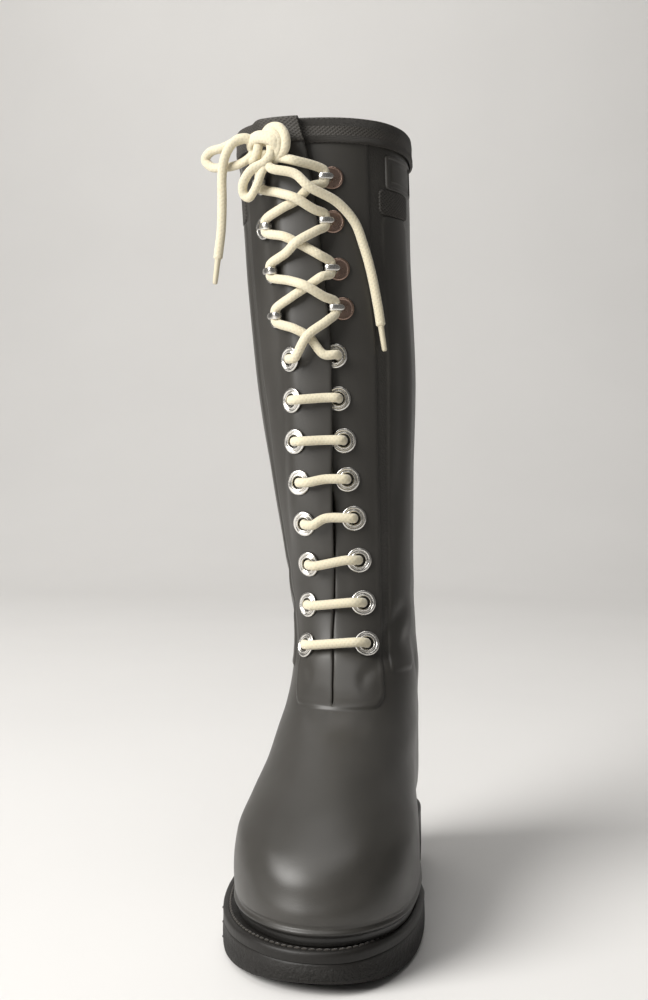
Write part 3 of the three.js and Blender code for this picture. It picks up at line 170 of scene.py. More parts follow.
# Fittings from the lowest: outer and inner offset from the slit, and the inner one's raise
EYELETS = [
    (0.488, 0.512, 2.2), (0.452, 0.439, 1.8), (0.409, 0.373, 2.6), (0.411, 0.302, 3),
    (0.469, 0.213, 1.7), (0.542, 0.153, 0.4), (0.583, 0.079, 0.9), (0.608, 0.038, 1.9),
]
HOOKS = [(0.82, 0.216, 3.5), (0.812, 0.216, 0.3), (0.886, 0.216, 1.7), (0.823, 0.3, 1)]
GROOVES = [0.057, 0.208, 0.245, 0.66, 0.705, 0.795, 0.84, 0.885, 0.925]

# Lacing rows from the lowest eyelet to the top hook, pitches as shares of the way between them
LACING_FOOT_Z = ANKLE_Z + LACING_FOOT_RISE
LACING_HEIGHT = BOOT_HEIGHT - LACING_TOP_DROP - LACING_FOOT_Z
EYELET_SHARE, HOOK_SHARE = 0.087861, 0.096665


def clamp01(t):
    return np.clip(t, 0, 1)


def smooth(t):
    """Smoothstep: 3 t squared minus 2 t cubed."""
    t = clamp01(t)
    return t * t * (3 - 2 * t)


def mix(a, b, t):
    return a + (b - a) * t


def unit(v):
    return v / np.maximum(np.linalg.norm(v, axis=-1, keepdims=True), 1e-12)


def curve(x, y):
    """Monotone cubic curve through the points (x, y)."""
    h = np.diff(x)
    d = np.diff(y) / h
    m = np.zeros(len(x))
    m[0], m[-1] = d[0], d[-1]
    w0 = 2 * h[1:] + h[:-1]
    w1 = h[1:] + 2 * h[:-1]
    turning = d[:-1] * d[1:] <= 0
    safe0 = np.where(turning, 1, d[:-1])
    safe1 = np.where(turning, 1, d[1:])
    m[1:-1] = np.where(turning, 0, (w0 + w1) / (w0 / safe0 + w1 / safe1))

    def value(v):
        v = np.clip(v, x[0], x[-1])
        i = np.clip(np.searchsorted(x, v, side="left") - 1, 0, len(x) - 2)
        t = (v - x[i]) / h[i]
        a = (1 + 2 * t) * (1 - t) ** 2 * y[i] + t * (1 - t) ** 2 * h[i] * m[i]
        return a + t * t * (3 - 2 * t) * y[i + 1] + t * t * (t - 1) * h[i] * m[i + 1]

    return value


def round_end(t, power):
    """Superellipse end: (1 - (1 - t)^power)^(1 / power)."""
    return (1 - (1 - clamp01(t)) ** power) ** (1 / power)


def curves(table):
    """One curve for each further column of a table over its first one."""
    return [curve(table[:, 0], table[:, k]) for k in range(1, table.shape[1])]


outline_ball, outline_outer, outline_inner = curves(OUTLINE)
profile_rise, profile_spring, profile_arch = curves(PROFILE)
[wander] = curves(WANDER)


def along_sole(y):
    return clamp01((BACK_Y - y) / SOLE_LENGTH)


def sole_top(y):
    s = along_sole(y)
    return FOREFOOT_HEIGHT + (HEEL_HEIGHT - FOREFOOT_HEIGHT) * profile_rise(s) + TOE_SPRING * profile_spring(s)


def sole_bottom(y):
    s = along_sole(y)
    return TOE_SPRING * profile_spring(s) + ARCH_CLEARANCE * profile_arch(s)


def sole_half_width(s, inner):
    heel = SOLE_HEEL_WIDTH / 2
    ball = SOLE_BALL_WIDTH * (1 - BALL_OUTER if inner else BALL_OUTER)
    waist = outline_inner(s) if inner else outline_outer(s)
    middle = mix(heel, ball, outline_ball(s)) - SOLE_WAIST_DEPTH * waist
    back = heel * round_end(s / HEEL_SHARE, HEEL_POWER)
    front = ball * round_end((1 - s) / (1 - BALL_SHARE), TOE_POWER_INNER if inner else TOE_POWER_OUTER)
    return np.where(s < HEEL_SHARE, back, np.where(s > BALL_SHARE, front, middle))


foot_table = np.column_stack([
    FEATHER + FOOT[:, 0] * INSTEP_RISE,
    UPPER_BACK_Y - FOOT[:, 1] * UPPER_LENGTH,
    UPPER_BACK_Y - FOOT[:, 2] * UPPER_LENGTH,
    FOOT[:, 3] * UPPER_WIDTH, FOOT[:, 4] * UPPER_WIDTH, FOOT[:, 5], FOOT[:, 6],
    FOOT[:, 7] * UPPER_WIDTH, FOOT[:, 8], 0 * FOOT[:, 0],
])
shaft_table = np.column_stack([
    ANKLE_Z + SHAFT[:, 0] * SHAFT_RISE, -SHAFT[:, 1] * SHAFT_DEPTH, SHAFT[:, 2] * SHAFT_DEPTH,
    SHAFT[:, 3] * SHAFT_WIDTH, SHAFT[:, 3] * SHAFT_WIDTH, SHAFT[:, 5], SHAFT[:, 6],
    0 * SHAFT[:, 0], SHAFT[:, 7], SHAFT[:, 4] * SHAFT_WIDTH,
])
sections = np.vstack([foot_table, shaft_table])
section_curves = curves(sections)


def section_point(angle, z):
    """Upper's main surface: angle round the section from the back, and height; both arrays."""
    front, back, heel, ball, heel_end, ball_end, dip, nose, lean = [f(z) for f in section_curves]
    share = (1 - np.cos(angle)) / 2
    y = mix(back, front, share)
    t = clamp01((share - heel_end) / (ball_end - heel_end))
    middle = mix(heel, ball, smooth(t)) - dip * 16 * t ** 2 * (1 - t) ** 2
    rear = heel * round_end(share / heel_end, REAR_POWER)
    toe = ball * round_end((1 - share) / (1 - ball_end), nose)
    half = np.where(share < heel_end, rear, np.where(share > ball_end, toe, middle))
    foot = 1 - smooth((z - FEATHER - 0.35 * INSTEP_RISE) / (0.6 * INSTEP_RISE))
    side = np.where(np.sin(angle) >= 0, 1, -1)
    x = lean + foot * UPPER_WIDTH * wander(share) + side * half
    follow = 1 - smooth((z - FEATHER) / (0.5 * INSTEP_RISE))
    return np.stack(np.broadcast_arrays(x, y, z + follow * (sole_top(y) - FOREFOOT_HEIGHT)), -1)


def section_normal(angle, z):
    """Outward normal from small steps round and up the section, level at the feather and the rim."""
    around = section_point(angle + 0.01, z) - section_point(angle - 0.01, z)
    up = section_point(angle, np.minimum(COLLAR_Z, z + 0.5)) - section_point(angle, np.maximum(FEATHER, z - 0.5))
    normal = unit(np.cross(up, around))
    level = smooth((z - FEATHER) / (0.12 * INSTEP_RISE)) * smooth((COLLAR_Z - z) / BINDING_HEIGHT)
    normal[..., 2] *= level
    return unit(normal)


def lifted(angle, z, offset):
    """The main surface moved out along its normal by an offset."""
    return section_point(angle, z) + section_normal(angle, z) * np.asarray(offset)[..., None]


line_curves = curves(LINES)
SLIT, PANEL_OUTER, PANEL_INNER, STRIP_OUTER, STRIP_INNER = range(5)


def line_angle(line, z):
    z = np.asarray(z, float)
    level = np.where(z < ANKLE_Z, (z - FEATHER) / INSTEP_RISE, 1 + (z - ANKLE_Z) / SHAFT_RISE)
    return np.radians(line_curves[line](level))


def walked(points):
    """Length walked along each row of points up to each point."""
    steps = np.linalg.norm(np.diff(points, axis=1), axis=-1)
    return np.concatenate([np.zeros((len(points), 1)), np.cumsum(steps, 1)], 1)


def arc_walk(z, start):
    """Angles 110 degrees to both sides of a start angle and their arc lengths, one row per height."""
    steps = np.radians(np.arange(-110, 111))
    angles = start[:, None] + steps[None, :]
    total = walked(section_point(angles, z[:, None])[..., :2])
    return angles, total[:, 110:111] - total


def angle_at_arc(z, start, arc):
    """Angle that lies an arc length from the start angle, positive to the inner side; arc is rows x columns."""
    angles, arcs = arc_walk(z, start)
    return np.stack([np.interp(arc[i], arcs[i, ::-1], angles[i, ::-1]) for i in range(len(z))])


def arc_at_angle(z, start, angle):
    angles, arcs = arc_walk(z, start)
    return np.array([np.interp(angle[i], angles[i], arcs[i]) for i in range(len(z))])


def slit_open(z):
    return z > SLIT_BOTTOM_Z + 1e-6


# Shares of the slit's height where the inner flap and the outer one's lift begin, and their ramp
LAP_START, LIFT_START, LAP_RAMP = 0.33, 0.2, 0.14


def lap_share(z, start=LAP_START):
    return smooth(((z - SLIT_BOTTOM_Z) / (COLLAR_Z - SLIT_BOTTOM_Z) - start) / LAP_RAMP)


def lap_lift(z, arc):
    """Lift of the outer flap over the inner one, fading with the arc beyond the overlap."""
    lift = lap_share(z, LIFT_START)
    share = 1 - smooth((-arc - FLAP_OVERLAP - 2) / FLAP_RAMP)
    top = smooth((z - BOOT_HEIGHT + 2.6 * BINDING_HEIGHT) / (1.4 * BINDING_HEIGHT))
    return np.where(arc > 0, 0, mix(LAP_LIFT, COLLAR_LIFT, top) * lift * share)


def spot(z, arc, height):
    """Points on the lacing panel's face, from heights and arcs from the slit."""
    z, arc, height = [np.atleast_1d(np.asarray(v, float)) for v in (z, arc, height)]
    z, arc, height = np.broadcast_arrays(z, arc, height)
    angle = angle_at_arc(z, line_angle(SLIT, z), arc[:, None])[:, 0]
    return lifted(angle, z, PANEL_STEP + lap_lift(z, arc) + height)


def panel_frame(z, arc):
    """Origin and across, up and out directions on the panel."""
    z1, a1 = np.array([z, z, z + 1, z - 1]), np.array([arc + 1, arc - 1, arc, arc])
    p = spot(z1, a1, 0)
    across = unit(p[0] - p[1])
    out = unit(np.cross(across, p[2] - p[3]))
    up = unit(np.cross(out, across))
    return {"origin": spot(z, arc, 0)[0], "across": across, "up": up, "out": out}


def settled_frame(z, arc, radius):
    """The panel frame moved out until a disc clears the surface beneath it."""
    f = panel_frame(z, arc)
    a = np.arange(24) / 12 * TURN
    reach = np.where(np.arange(24) < 12, radius, 0.6 * radius)
    rim_arc = arc + reach * np.cos(a)
    rim = spot(z + reach * np.sin(a), rim_arc, 0)
    high = (rim - f["origin"]) @ f["out"]
    high = np.where((arc > 0) & (rim_arc < 0), 0, high)
    f["origin"] = f["origin"] + f["out"] * (max(0, high.max()) + 0.2)
    return f


def in_frame(f, u, v, h):
    u, v, h = [np.asarray(w, float)[..., None] for w in (u, v, h)]
    return f["origin"] + f["across"] * u + f["up"] * v + f["out"] * h


# Mesh helpers

def grid_faces(index, wrap_rows=False, wrap_cols=False):
    """Quads between neighbouring entries of a rows x columns array of vertex numbers."""
    if wrap_rows:
        index = np.vstack([index, index[:1]])
    if wrap_cols:
        index = np.hstack([index, index[:, :1]])
    return np.stack([index[:-1, :-1], index[:-1, 1:], index[1:, 1:], index[1:, :-1]], -1).reshape(-1, 4)


def tidy_faces(quads):
    """Drop quads that have shrunk to a line, and turn those with one doubled corner into triangles."""
    same = np.stack([quads[:, k] == quads[:, (k + 1) % 4] for k in range(4)], 1)
    doubled = same.sum(1)
    whole = quads[doubled == 0]
    thin = quads[doubled == 1]
    drop = same[doubled == 1].argmax(1)
    keep = (drop[:, None] + 1 + np.arange(3)[None, :]) % 4
    return whole, np.take_along_axis(thin, keep, 1)


def make_mesh(name, verts, faces, uv=None, face_material=None, outward=True, values=None):
    """A mesh object from points in millimetres and a list of face arrays; uv holds one pair a vertex."""
    verts = np.asarray(verts, float)
    loops = np.concatenate([f.reshape(-1) for f in faces]).astype(np.int32)
    totals = np.concatenate([np.full(len(f), f.shape[1]) for f in faces]).astype(np.int32)
    starts = np.concatenate([[0], np.cumsum(totals)[:-1]]).astype(np.int32)
    if outward:
        volume = 0
        for f in faces:
            for k in range(1, f.shape[1] - 1):
                a, b, c = verts[f[:, 0]], verts[f[:, k]], verts[f[:, k + 1]]
                volume += np.einsum("ij,ij->i", a, np.cross(b, c)).sum()
        if volume < 0:
            loops = np.concatenate([f[:, ::-1].reshape(-1) for f in faces]).astype(np.int32)
    mesh = bpy.data.meshes.new(name)
    mesh.vertices.add(len(verts))
    mesh.vertices.foreach_set("co", (verts * MM).reshape(-1))
    mesh.loops.add(len(loops))
    mesh.loops.foreach_set("vertex_index", loops)
    mesh.polygons.add(len(totals))
    mesh.polygons.foreach_set("loop_start", starts)
    mesh.polygons.foreach_set("loop_total", totals)
    if face_material is not None:
        mesh.polygons.foreach_set("material_index", face_material.astype(np.int32))
    mesh.update(calc_edges=True)
    if uv is not None:
        layer = mesh.uv_layers.new(name="Surface")
        layer.data.foreach_set("uv", np.asarray(uv, float)[loops].reshape(-1))
    for key, value in (values or {}).items():
        mesh.attributes.new(key, "FLOAT", "POINT").data.foreach_set("value", np.asarray(value, float).reshape(-1))
    mesh.validate()
    mesh.shade_smooth()
    piece = bpy.data.objects.new(name, mesh)
    bpy.context.scene.collection.objects.link(piece)
    return piece


def mirrored(count):
    """Number of the point across the centre line, for each of a ring's points from the heel round."""
    return (count - np.arange(count)) % count


def stack_mesh(name, layers, values=None):
    """Rings joined in order; the first and the last lie on the centre line and are folded together there."""
    count = len(layers[0])
    index = np.arange(len(layers) * count).reshape(-1, count)
    for row in (0, -1):
        index[row] = index[row][np.minimum(np.arange(count), mirrored(count))]
    return make_mesh(name, np.vstack(layers), tidy_faces(grid_faces(index, wrap_cols=True)), values=values)


def dress(piece, materials, slot, *nodes):
    """Give the piece its materials by name, let it ride on the boot and stand for its CAD nodes."""
    for key in materials:
        piece.data.materials.append(finish(key))
    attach(piece, "root")
    if nodes:
        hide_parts(*nodes)
    return piece


def sharpen(piece, degrees):
    """Auto smooth: edges over an angle stay sharp."""
    piece.data.set_sharp_from_angle(angle=math.radians(degrees))


def smooth_path(points, count):
    """Centripetal Catmull-Rom curve through the points, at evenly spaced lengths."""
    p = np.asarray(points, float)
    p = np.vstack([2 * p[0] - p[1], p, 2 * p[-1] - p[-2]])
    knots = np.concatenate([[0], np.cumsum(np.sqrt(np.linalg.norm(np.diff(p, axis=0), axis=1)))])
    u = np.linspace(knots[1], knots[-2], 40 * len(p))
    i = np.clip(np.searchsorted(knots, u, side="right") - 1, 1, len(p) - 3)
    t0, t1, t2, t3 = [knots[i + k][:, None] for k in (-1, 0, 1, 2)]
    p0, p1, p2, p3 = [p[i + k] for k in (-1, 0, 1, 2)]
    u = u[:, None]

    def blend(a, b, start, end):
        return (end - u) / (end - start) * a + (u - start) / (end - start) * b

    a1, a2, a3 = blend(p0, p1, t0, t1), blend(p1, p2, t1, t2), blend(p2, p3, t2, t3)
    return even_path(blend(blend(a1, a2, t0, t2), blend(a2, a3, t1, t3), t1, t2), count)


def even_path(fine, count):
    """The path again with points at even lengths."""
    length = walked(fine[None])[0]
    at = np.linspace(0, length[-1], count)
    return np.stack([np.interp(at, length, fine[:, k]) for k in range(3)], 1)


def path_frames(path, out, closed=False):
    """Tangents, and side and top directions carried along the path with the least turning."""
    tangent = np.gradient(path, axis=0)
    if closed:
        tangent = np.roll(path, -1, 0) - np.roll(path, 1, 0)
    tangent = unit(tangent)
    side = np.zeros_like(path)
    middle = len(path) // 2
    side[middle] = unit(np.cross(tangent[middle], out))
    for order in (range(middle + 1, len(path)), range(middle - 1, -1, -1)):
        last = side[middle]
        for k in order:
            last = unit(last - tangent[k] * (last @ tangent[k]))
            side[k] = last
    return tangent, side, np.cross(side, tangent)


def tube_parts(path, half_width, half_thick, out=(0, -1, 0), sides=20, closed=False, start=0):
    """Tube: an ellipse carried along the path, closed by rounded ends, with UV along and round it."""
    path = np.asarray(path, float)
    tangent, side, top = path_frames(path, np.array(out, float), closed)
    n = len(path)
    length = walked(path[None])[0]
    scale = np.ones(n)
    if not closed:
        cap = 0.5 * half_thick
        path = np.vstack([path[0] - tangent[0] * cap, path, path[-1] + tangent[-1] * cap])
        side = np.vstack([side[:1], side, side[-1:]])
        top = np.vstack([top[:1], top, top[-1:]])
        scale = np.concatenate([[0.6], scale, [0.6]])
        length = np.concatenate([[-cap], length, [length[-1] + cap]])
        n += 2
    a = np.arange(sides + 1) / sides * TURN
    ring = np.cos(a)[:, None] * half_width * side[:, None] + np.sin(a)[:, None] * half_thick * top[:, None]
    points = path[:, None] + ring * scale[:, None, None]
    uv = np.stack(np.broadcast_arrays(length[:, None] / 10, a[None, :] / TURN), -1)
    verts = points.reshape(-1, 3)
    index = np.arange(len(verts)).reshape(n, sides + 1) + start
    faces = [grid_faces(index, wrap_rows=closed)]
    if not closed:
        verts = np.vstack([verts, path[0], path[-1]])
        uv = np.vstack([uv.reshape(-1, 2), [[length[0] / 10, 0.5], [length[-1] / 10, 0.5]]])
        first, last = start + len(verts) - 2, start + len(verts) - 1
        k = np.arange(sides)
        faces.append(np.stack([np.full(sides, first), index[0, k + 1], index[0, k]], 1))
        faces.append(np.stack([np.full(sides, last), index[-1, k], index[-1, k + 1]], 1))
    return verts, faces, uv.reshape(-1, 2)


def weld(piece, distance=2e-6):
    """Merge the doubled points of a closed piece's seam."""
    bm = bmesh.new()
    bm.from_mesh(piece.data)
    bmesh.ops.remove_doubles(bm, verts=bm.verts, dist=distance)
    bm.to_mesh(piece.data)
    bm.free()
    return piece


def make_tubes(name, tubes, materials, slot, *nodes):
    """One piece from several tubes."""
    verts, faces, uvs, start = [], [], [], 0
    for tube in tubes:
        v, f, uv = tube_parts(start=start, **tube)
        verts.append(v)
        faces += f
        uvs.append(uv)
        start += len(v)
    piece = make_mesh(name, np.vstack(verts), faces, np.vstack(uvs))
    weld(piece)
    return dress(piece, materials, slot, *nodes)


# Materials

def node(tree, kind, inputs=None, **values):
    n = tree.nodes.new(kind)
    for key, value in values.items():
        setattr(n, key, value)
    for key, value in (inputs or {}).items():
        n.inputs[key].default_value = value
    return n


def new_material(name, color, roughness, metallic=0.0, specular=0.5):
    m = bpy.data.materials.new(name)
    m.use_nodes = True
    tree = m.node_tree
    shader = tree.nodes["Principled BSDF"]
    shader.inputs["Base Color"].default_value = (*color, 1)
    shader.inputs["Roughness"].default_value = roughness
    shader.inputs["Metallic"].default_value = metallic
    shader.inputs["Specular IOR Level"].default_value = specular
    return m, tree, shader


def feed(tree, shader, **sources):
    """Link outputs to the shader's inputs, whose names have underscores for spaces here."""
    for key, source in sources.items():
        tree.links.new(source, shader.inputs[key.replace("_", " ")])


def object_noise(tree, scale, detail=3.0, rough=0.5, stretch=(1, 1, 1)):
    coords = node(tree, "ShaderNodeTexCoord")
    mapping = node(tree, "ShaderNodeMapping", {"Scale": stretch})
    noise = node(tree, "ShaderNodeTexNoise", {"Scale": scale, "Detail": detail, "Roughness": rough})
    tree.links.new(coords.outputs["Object"], mapping.inputs["Vector"])
    tree.links.new(mapping.outputs["Vector"], noise.inputs["Vector"])
    return noise.outputs["Fac"]


def ramp(tree, source, stops):
    r = node(tree, "ShaderNodeValToRGB")
    while len(r.color_ramp.elements) < len(stops):
        r.color_ramp.elements.new(0.5)
    for element, (position, color) in zip(r.color_ramp.elements, stops):
        element.position = position
        element.color = (*color, 1) if len(color) == 3 else color
    tree.links.new(source, r.inputs["Fac"])
    return r.outputs["Color"]


def attribute(tree, name):
    return node(tree, "ShaderNodeAttribute", attribute_name=name).outputs["Fac"]


def bump(tree, height, strength, distance, before=None):
    b = node(tree, "ShaderNodeBump", {"Strength": strength, "Distance": distance})
    tree.links.new(height, b.inputs["Height"])
    if before is not None:
        tree.links.new(before, b.inputs["Normal"])
    return b.outputs["Normal"]


def scaled(tree, source, factor, offset=0.0):
    m = node(tree, "ShaderNodeMath", operation="MULTIPLY_ADD")
    m.inputs[1].default_value = factor
    m.inputs[2].default_value = offset
    tree.links.new(source, m.inputs[0])
    return m.outputs[0]


def combine(tree, a, b, operation="ADD"):
    m = node(tree, "ShaderNodeMath", operation=operation)
    tree.links.new(a, m.inputs[0])
    tree.links.new(b, m.inputs[1])
    return m.outputs[0]


def shade(color, factor):
    return tuple(min(1, c * factor) for c in color)


def rubber_material(name, color, roughness, grain, stipple=None):
    """Moulded rubber: cloudy bloom in the colour, uneven satin, fine grain, optional stipple by attribute and, with
    it, painted shade darkening the rand.
    """
    m, tree, shader = new_material(name, color, roughness, specular=0.45)
    cloud = object_noise(tree, 16, 4, 0.55)
    tint = ramp(tree, cloud, [(0.3, shade(color, 0.86)), (0.55, color), (0.75, shade(color, 1.22))])
    if stipple:
        # Painted shade: the colour darkens towards a quarter where the attribute marks the rand just above the welt,
        # in place of the shadow under the upper's bulge.
        painted_rand_shade = node(tree, "ShaderNodeMix", data_type="RGBA")
        painted_rand_shade.inputs[7].default_value = (*shade(color, 0.25), 1)
        tree.links.new(attribute(tree, "painted_rand_shade"), painted_rand_shade.inputs["Factor"])
        tree.links.new(tint, painted_rand_shade.inputs[6])
        tint = painted_rand_shade.outputs[2]
    feed(tree, shader, Base_Color=tint)
    uneven = object_noise(tree, 60, 4, 0.6)
    feed(tree, shader, Roughness=scaled(tree, uneven, 0.16, roughness - 0.08))
    wave = bump(tree, object_noise(tree, 32, 2), 0.25, 0.0008)
    normal = bump(tree, object_noise(tree, 1500, 2), 0.3 * grain, 0.0002, wave)
    if stipple:
        dots = node(tree, "ShaderNodeTexVoronoi", {"Scale": 780.0})
        coords = node(tree, "ShaderNodeTexCoord")
        tree.links.new(coords.outputs["Object"], dots.inputs["Vector"])
        height = combine(tree, dots.outputs["Distance"], attribute(tree, stipple), "MULTIPLY")
        normal = bump(tree, height, 0.4, 0.0004, normal)
    feed(tree, shader, Normal=normal)
    shader.inputs["Coat Weight"].default_value = 0.2
    shader.inputs["Coat Roughness"].default_value = 0.34
    return m


def sole_material(name, color, roughness, rough_scale):
    """Sole rubber: dusty, with coarse pits whose strength the attribute carries."""
    m, tree, shader = new_material(name, color, roughness, specular=0.35)
    dust = object_noise(tree, 45, 5, 0.65)
    tint = ramp(tree, dust, [(0.35, shade(color, 0.8)), (0.6, color), (0.8, shade(color, 1.45))])
    feed(tree, shader, Base_Color=tint)
    mask = attribute(tree, "rough")
    pits = combine(tree, object_noise(tree, rough_scale, 4, 0.6), mask, "MULTIPLY")
    normal = bump(tree, pits, 0.95, 0.0017, bump(tree, object_noise(tree, 1300, 2), 0.25, 0.0002))
    feed(tree, shader, Normal=normal)
    feed(tree, shader, Roughness=scaled(tree, mask, 0.22, roughness - 0.14))
    return m


def tape_material(name, color, cell):
    """Woven tape: a diamond weave from two crossed waves over the piece's own UV, in millimetres / 10."""
    m, tree, shader = new_material(name, color, 0.62, specular=0.35)
    uv = node(tree, "ShaderNodeUVMap", uv_map="Surface")
    heights = []
    for angle in (52, -52):
        mapping = node(tree, "ShaderNodeMapping", {"Rotation": (0, 0, math.radians(angle))})
        wave = node(tree, "ShaderNodeTexWave", {"Scale": 10 / cell / 3.2, "Distortion": 0.15})
        tree.links.new(uv.outputs["UV"], mapping.inputs["Vector"])
        tree.links.new(mapping.outputs["Vector"], wave.inputs["Vector"])
        heights.append(wave.outputs["Fac"])
    weave = combine(tree, heights[0], heights[1], "MAXIMUM")
    cloud = object_noise(tree, 30, 4)
    tone = combine(tree, scaled(tree, weave, 0.6), scaled(tree, cloud, 0.5))
    tint = ramp(tree, tone, [(0.25, shade(color, 0.62)), (0.7, color), (0.95, shade(color, 1.4))])
    feed(tree, shader, Base_Color=tint)
    feed(tree, shader, Normal=bump(tree, weave, 0.7, 0.0005))
    return m


def cotton_material(name, color, plait):
    """Round plaited cotton lace: crossed diagonal yarns from the UV along and round it, with lint."""
    m, tree, shader = new_material(name, color, 0.88, specular=0.2)
    shader.inputs["Sheen Weight"].default_value = 0.35
    shader.inputs["Sheen Roughness"].default_value = 0.5
    shader.inputs["Subsurface Weight"].default_value = 0.08
    shader.inputs["Subsurface Radius"].default_value = (0.002, 0.0015, 0.001)
    uv = node(tree, "ShaderNodeUVMap", uv_map="Surface")
    parts = node(tree, "ShaderNodeSeparateXYZ")
    tree.links.new(uv.outputs["UV"], parts.inputs[0])
    heights = []
    for way in (1, -1):
        along = scaled(tree, parts.outputs["X"], 10 / plait * TURN)
        turn = scaled(tree, parts.outputs["Y"], way * 5 * TURN)
        s = node(tree, "ShaderNodeMath", operation="SINE")
        tree.links.new(combine(tree, along, turn), s.inputs[0])
        heights.append(s.outputs[0])
    weave = scaled(tree, combine(tree, heights[0], heights[1], "MAXIMUM"), 0.5, 0.5)
    lint = object_noise(tree, 900, 3, 0.7)
    tint = ramp(tree, weave, [(0.1, shade(color, 0.91)), (0.5, shade(color, 0.97)), (0.9, color)])
    feed(tree, shader, Base_Color=tint)
    normal = bump(tree, weave, 0.38, 0.00035)
    feed(tree, shader, Normal=bump(tree, lint, 0.25, 0.0003, normal))
    return m


def metal_material(name, color, roughness):
    """Plated metal: fine handling marks in the roughness and a faint ripple."""
    m, tree, shader = new_material(name, color, roughness, metallic=1.0)
    marks = object_noise(tree, 420, 4, 0.7)
    feed(tree, shader, Roughness=scaled(tree, marks, 0.2, roughness - 0.08))
    stain = ramp(tree, object_noise(tree, 190, 3), [(0.35, shade(color, 0.82)), (0.6, color)])
    feed(tree, shader, Base_Color=stain)
    feed(tree, shader, Normal=bump(tree, object_noise(tree, 160, 2), 0.15, 0.0004))
    return m


def cloth_material(name, color, thread):
    """Knitted lining or felt: fine threads in bump, soft tone changes."""
    m, tree, shader = new_material(name, color, 0.95, specular=0.15)
    tint = ramp(tree, object_noise(tree, 70, 4), [(0.35, shade(color, 0.8)), (0.7, shade(color, 1.2))])
    feed(tree, shader, Base_Color=tint)
    feed(tree, shader, Normal=bump(tree, object_noise(tree, thread, 2, 0.6, (1, 1, 0.5)), 0.6, 0.0004))
    shader.inputs["Sheen Weight"].default_value = 0.25
    return m


class BootSizes(bpy.types.PropertyGroup):
    lace_width: FloatProperty(
        name="Lace width", description="Width of the round lace as it lies, a little flattened",
        default=0.0054, min=0.003, max=0.008, subtype="DISTANCE")
    lace_thickness: FloatProperty(
        name="Lace thickness", description="Thickness of the lace away from the boot",
        default=0.0046, min=0.003, max=0.006, subtype="DISTANCE")
    crease_depth: FloatProperty(
        name="Crease depth", description="How deep the soft creases are, as a share of the depth in their table",
        default=1.5, min=0, max=2, subtype="FACTOR")
    grain: FloatProperty(
        name="Rubber grain", description="Strength of the fine grain of the rubber",
        default=1.0, min=0, max=3, subtype="FACTOR")
    tape_cell: FloatProperty(
        name="Tape weave", description="Width of one diamond of the collar tape",
        default=0.0017, min=0.0008, max=0.004, subtype="DISTANCE")
    stitch_pitch: FloatProperty(
        name="Welt stitch", description="Distance from stitch to stitch along the welt",
        default=0.0036, min=0.002, max=0.008, subtype="DISTANCE")
    fitting_sides: IntProperty(
        name="Fitting sides", description="Number of sides of the round metal fittings",
        default=48, min=16, max=96)


class BootColours(bpy.types.PropertyGroup):
    rubber: FloatVectorProperty(
        name="Upper rubber", description="Colour of the upper's rubber",
        default=(0.037, 0.0345, 0.0302), min=0, max=1, subtype="COLOR")
    sole: FloatVectorProperty(
        name="Sole rubber", description="Colour of the welt and outsole",
        default=(0.0115, 0.0102, 0.0088), min=0, max=1, subtype="COLOR")
    tape: FloatVectorProperty(
        name="Collar tape", description="Colour of the woven tape round the collar",
        default=(0.045, 0.041, 0.036), min=0, max=1, subtype="COLOR")
    lace: FloatVectorProperty(
        name="Lace", description="Colour of the cotton lace",
        default=(0.67, 0.61, 0.455), min=0, max=1, subtype="COLOR")
    nickel: FloatVectorProperty(
        name="Fittings", description="Colour of the plated eyelets and hooks",
        default=(0.78, 0.76, 0.72), min=0, max=1, subtype="COLOR")
    warm: FloatVectorProperty(
        name="Inner hooks", description="Colour of the hooks of the inner row, a little warmer",
        default=(0.4, 0.28, 0.225), min=0, max=1, subtype="COLOR")
    lining: FloatVectorProperty(
        name="Lining", description="Colour of the cloth inside",
        default=(0.05, 0.047, 0.042), min=0, max=1, subtype="COLOR")
    floor: FloatVectorProperty(
        name="Floor", description="Colour of the pale floor and backdrop",
        default=(0.78, 0.77, 0.755), min=0, max=1, subtype="COLOR")


FINISHES = {}


def finish(key):
    """The boot's materials, each made once."""
    s = bpy.context.scene
    sizes, colours = s.boot_sizes, s.boot_colours
    makers = {
        "upper": lambda: rubber_material("Upper rubber", colours.rubber, 0.44, sizes.grain, "stipple"),
        "plate": lambda: rubber_material("Plate rubber", shade(colours.rubber, 1.1), 0.5, sizes.grain),
        "sole": lambda: sole_material("Sole rubber", colours.sole, 0.62, 420),
        "tape": lambda: tape_material("Collar tape", colours.tape, sizes.tape_cell / MM),
        "patch": lambda: tape_material("Patch tape", shade(colours.tape, 0.8), sizes.tape_cell / MM),
        "cotton": lambda: cotton_material("Cotton lace", colours.lace, 2.4),
        "film": lambda: new_material("Aglet film", shade(colours.lace, 0.92), 0.32)[0],
        "nickel": lambda: metal_material("Nickel plate", colours.nickel, 0.24),
        "warm": lambda: metal_material("Warm nickel plate", colours.warm, 0.27),
        "lining": lambda: cloth_material("Lining", colours.lining, 900),
        "insole": lambda: cloth_material("Insole cloth", shade(colours.lining, 1.6), 650),
        # Welt thread at four times the sole's colour: partly the thread's own lighter tone, partly painted highlight
        # for the glints along the stitches.
        "thread": lambda: cloth_material("Welt thread", shade(colours.sole, 4), 1200),
    }
    if key not in FINISHES:
        FINISHES[key] = makers[key]()
    return FINISHES[key]


# Camera: where the photograph was taken from, in millimetres and degrees
CAMERA_PLACE = (75.9, -874.2, 246.8)
CAMERA_YAW = -6.5
CAMERA_PITCH = 1.3
CAMERA_ROLL = -0.13
CAMERA_FOCUS = 1.4
CAMERA_SENSOR = 36


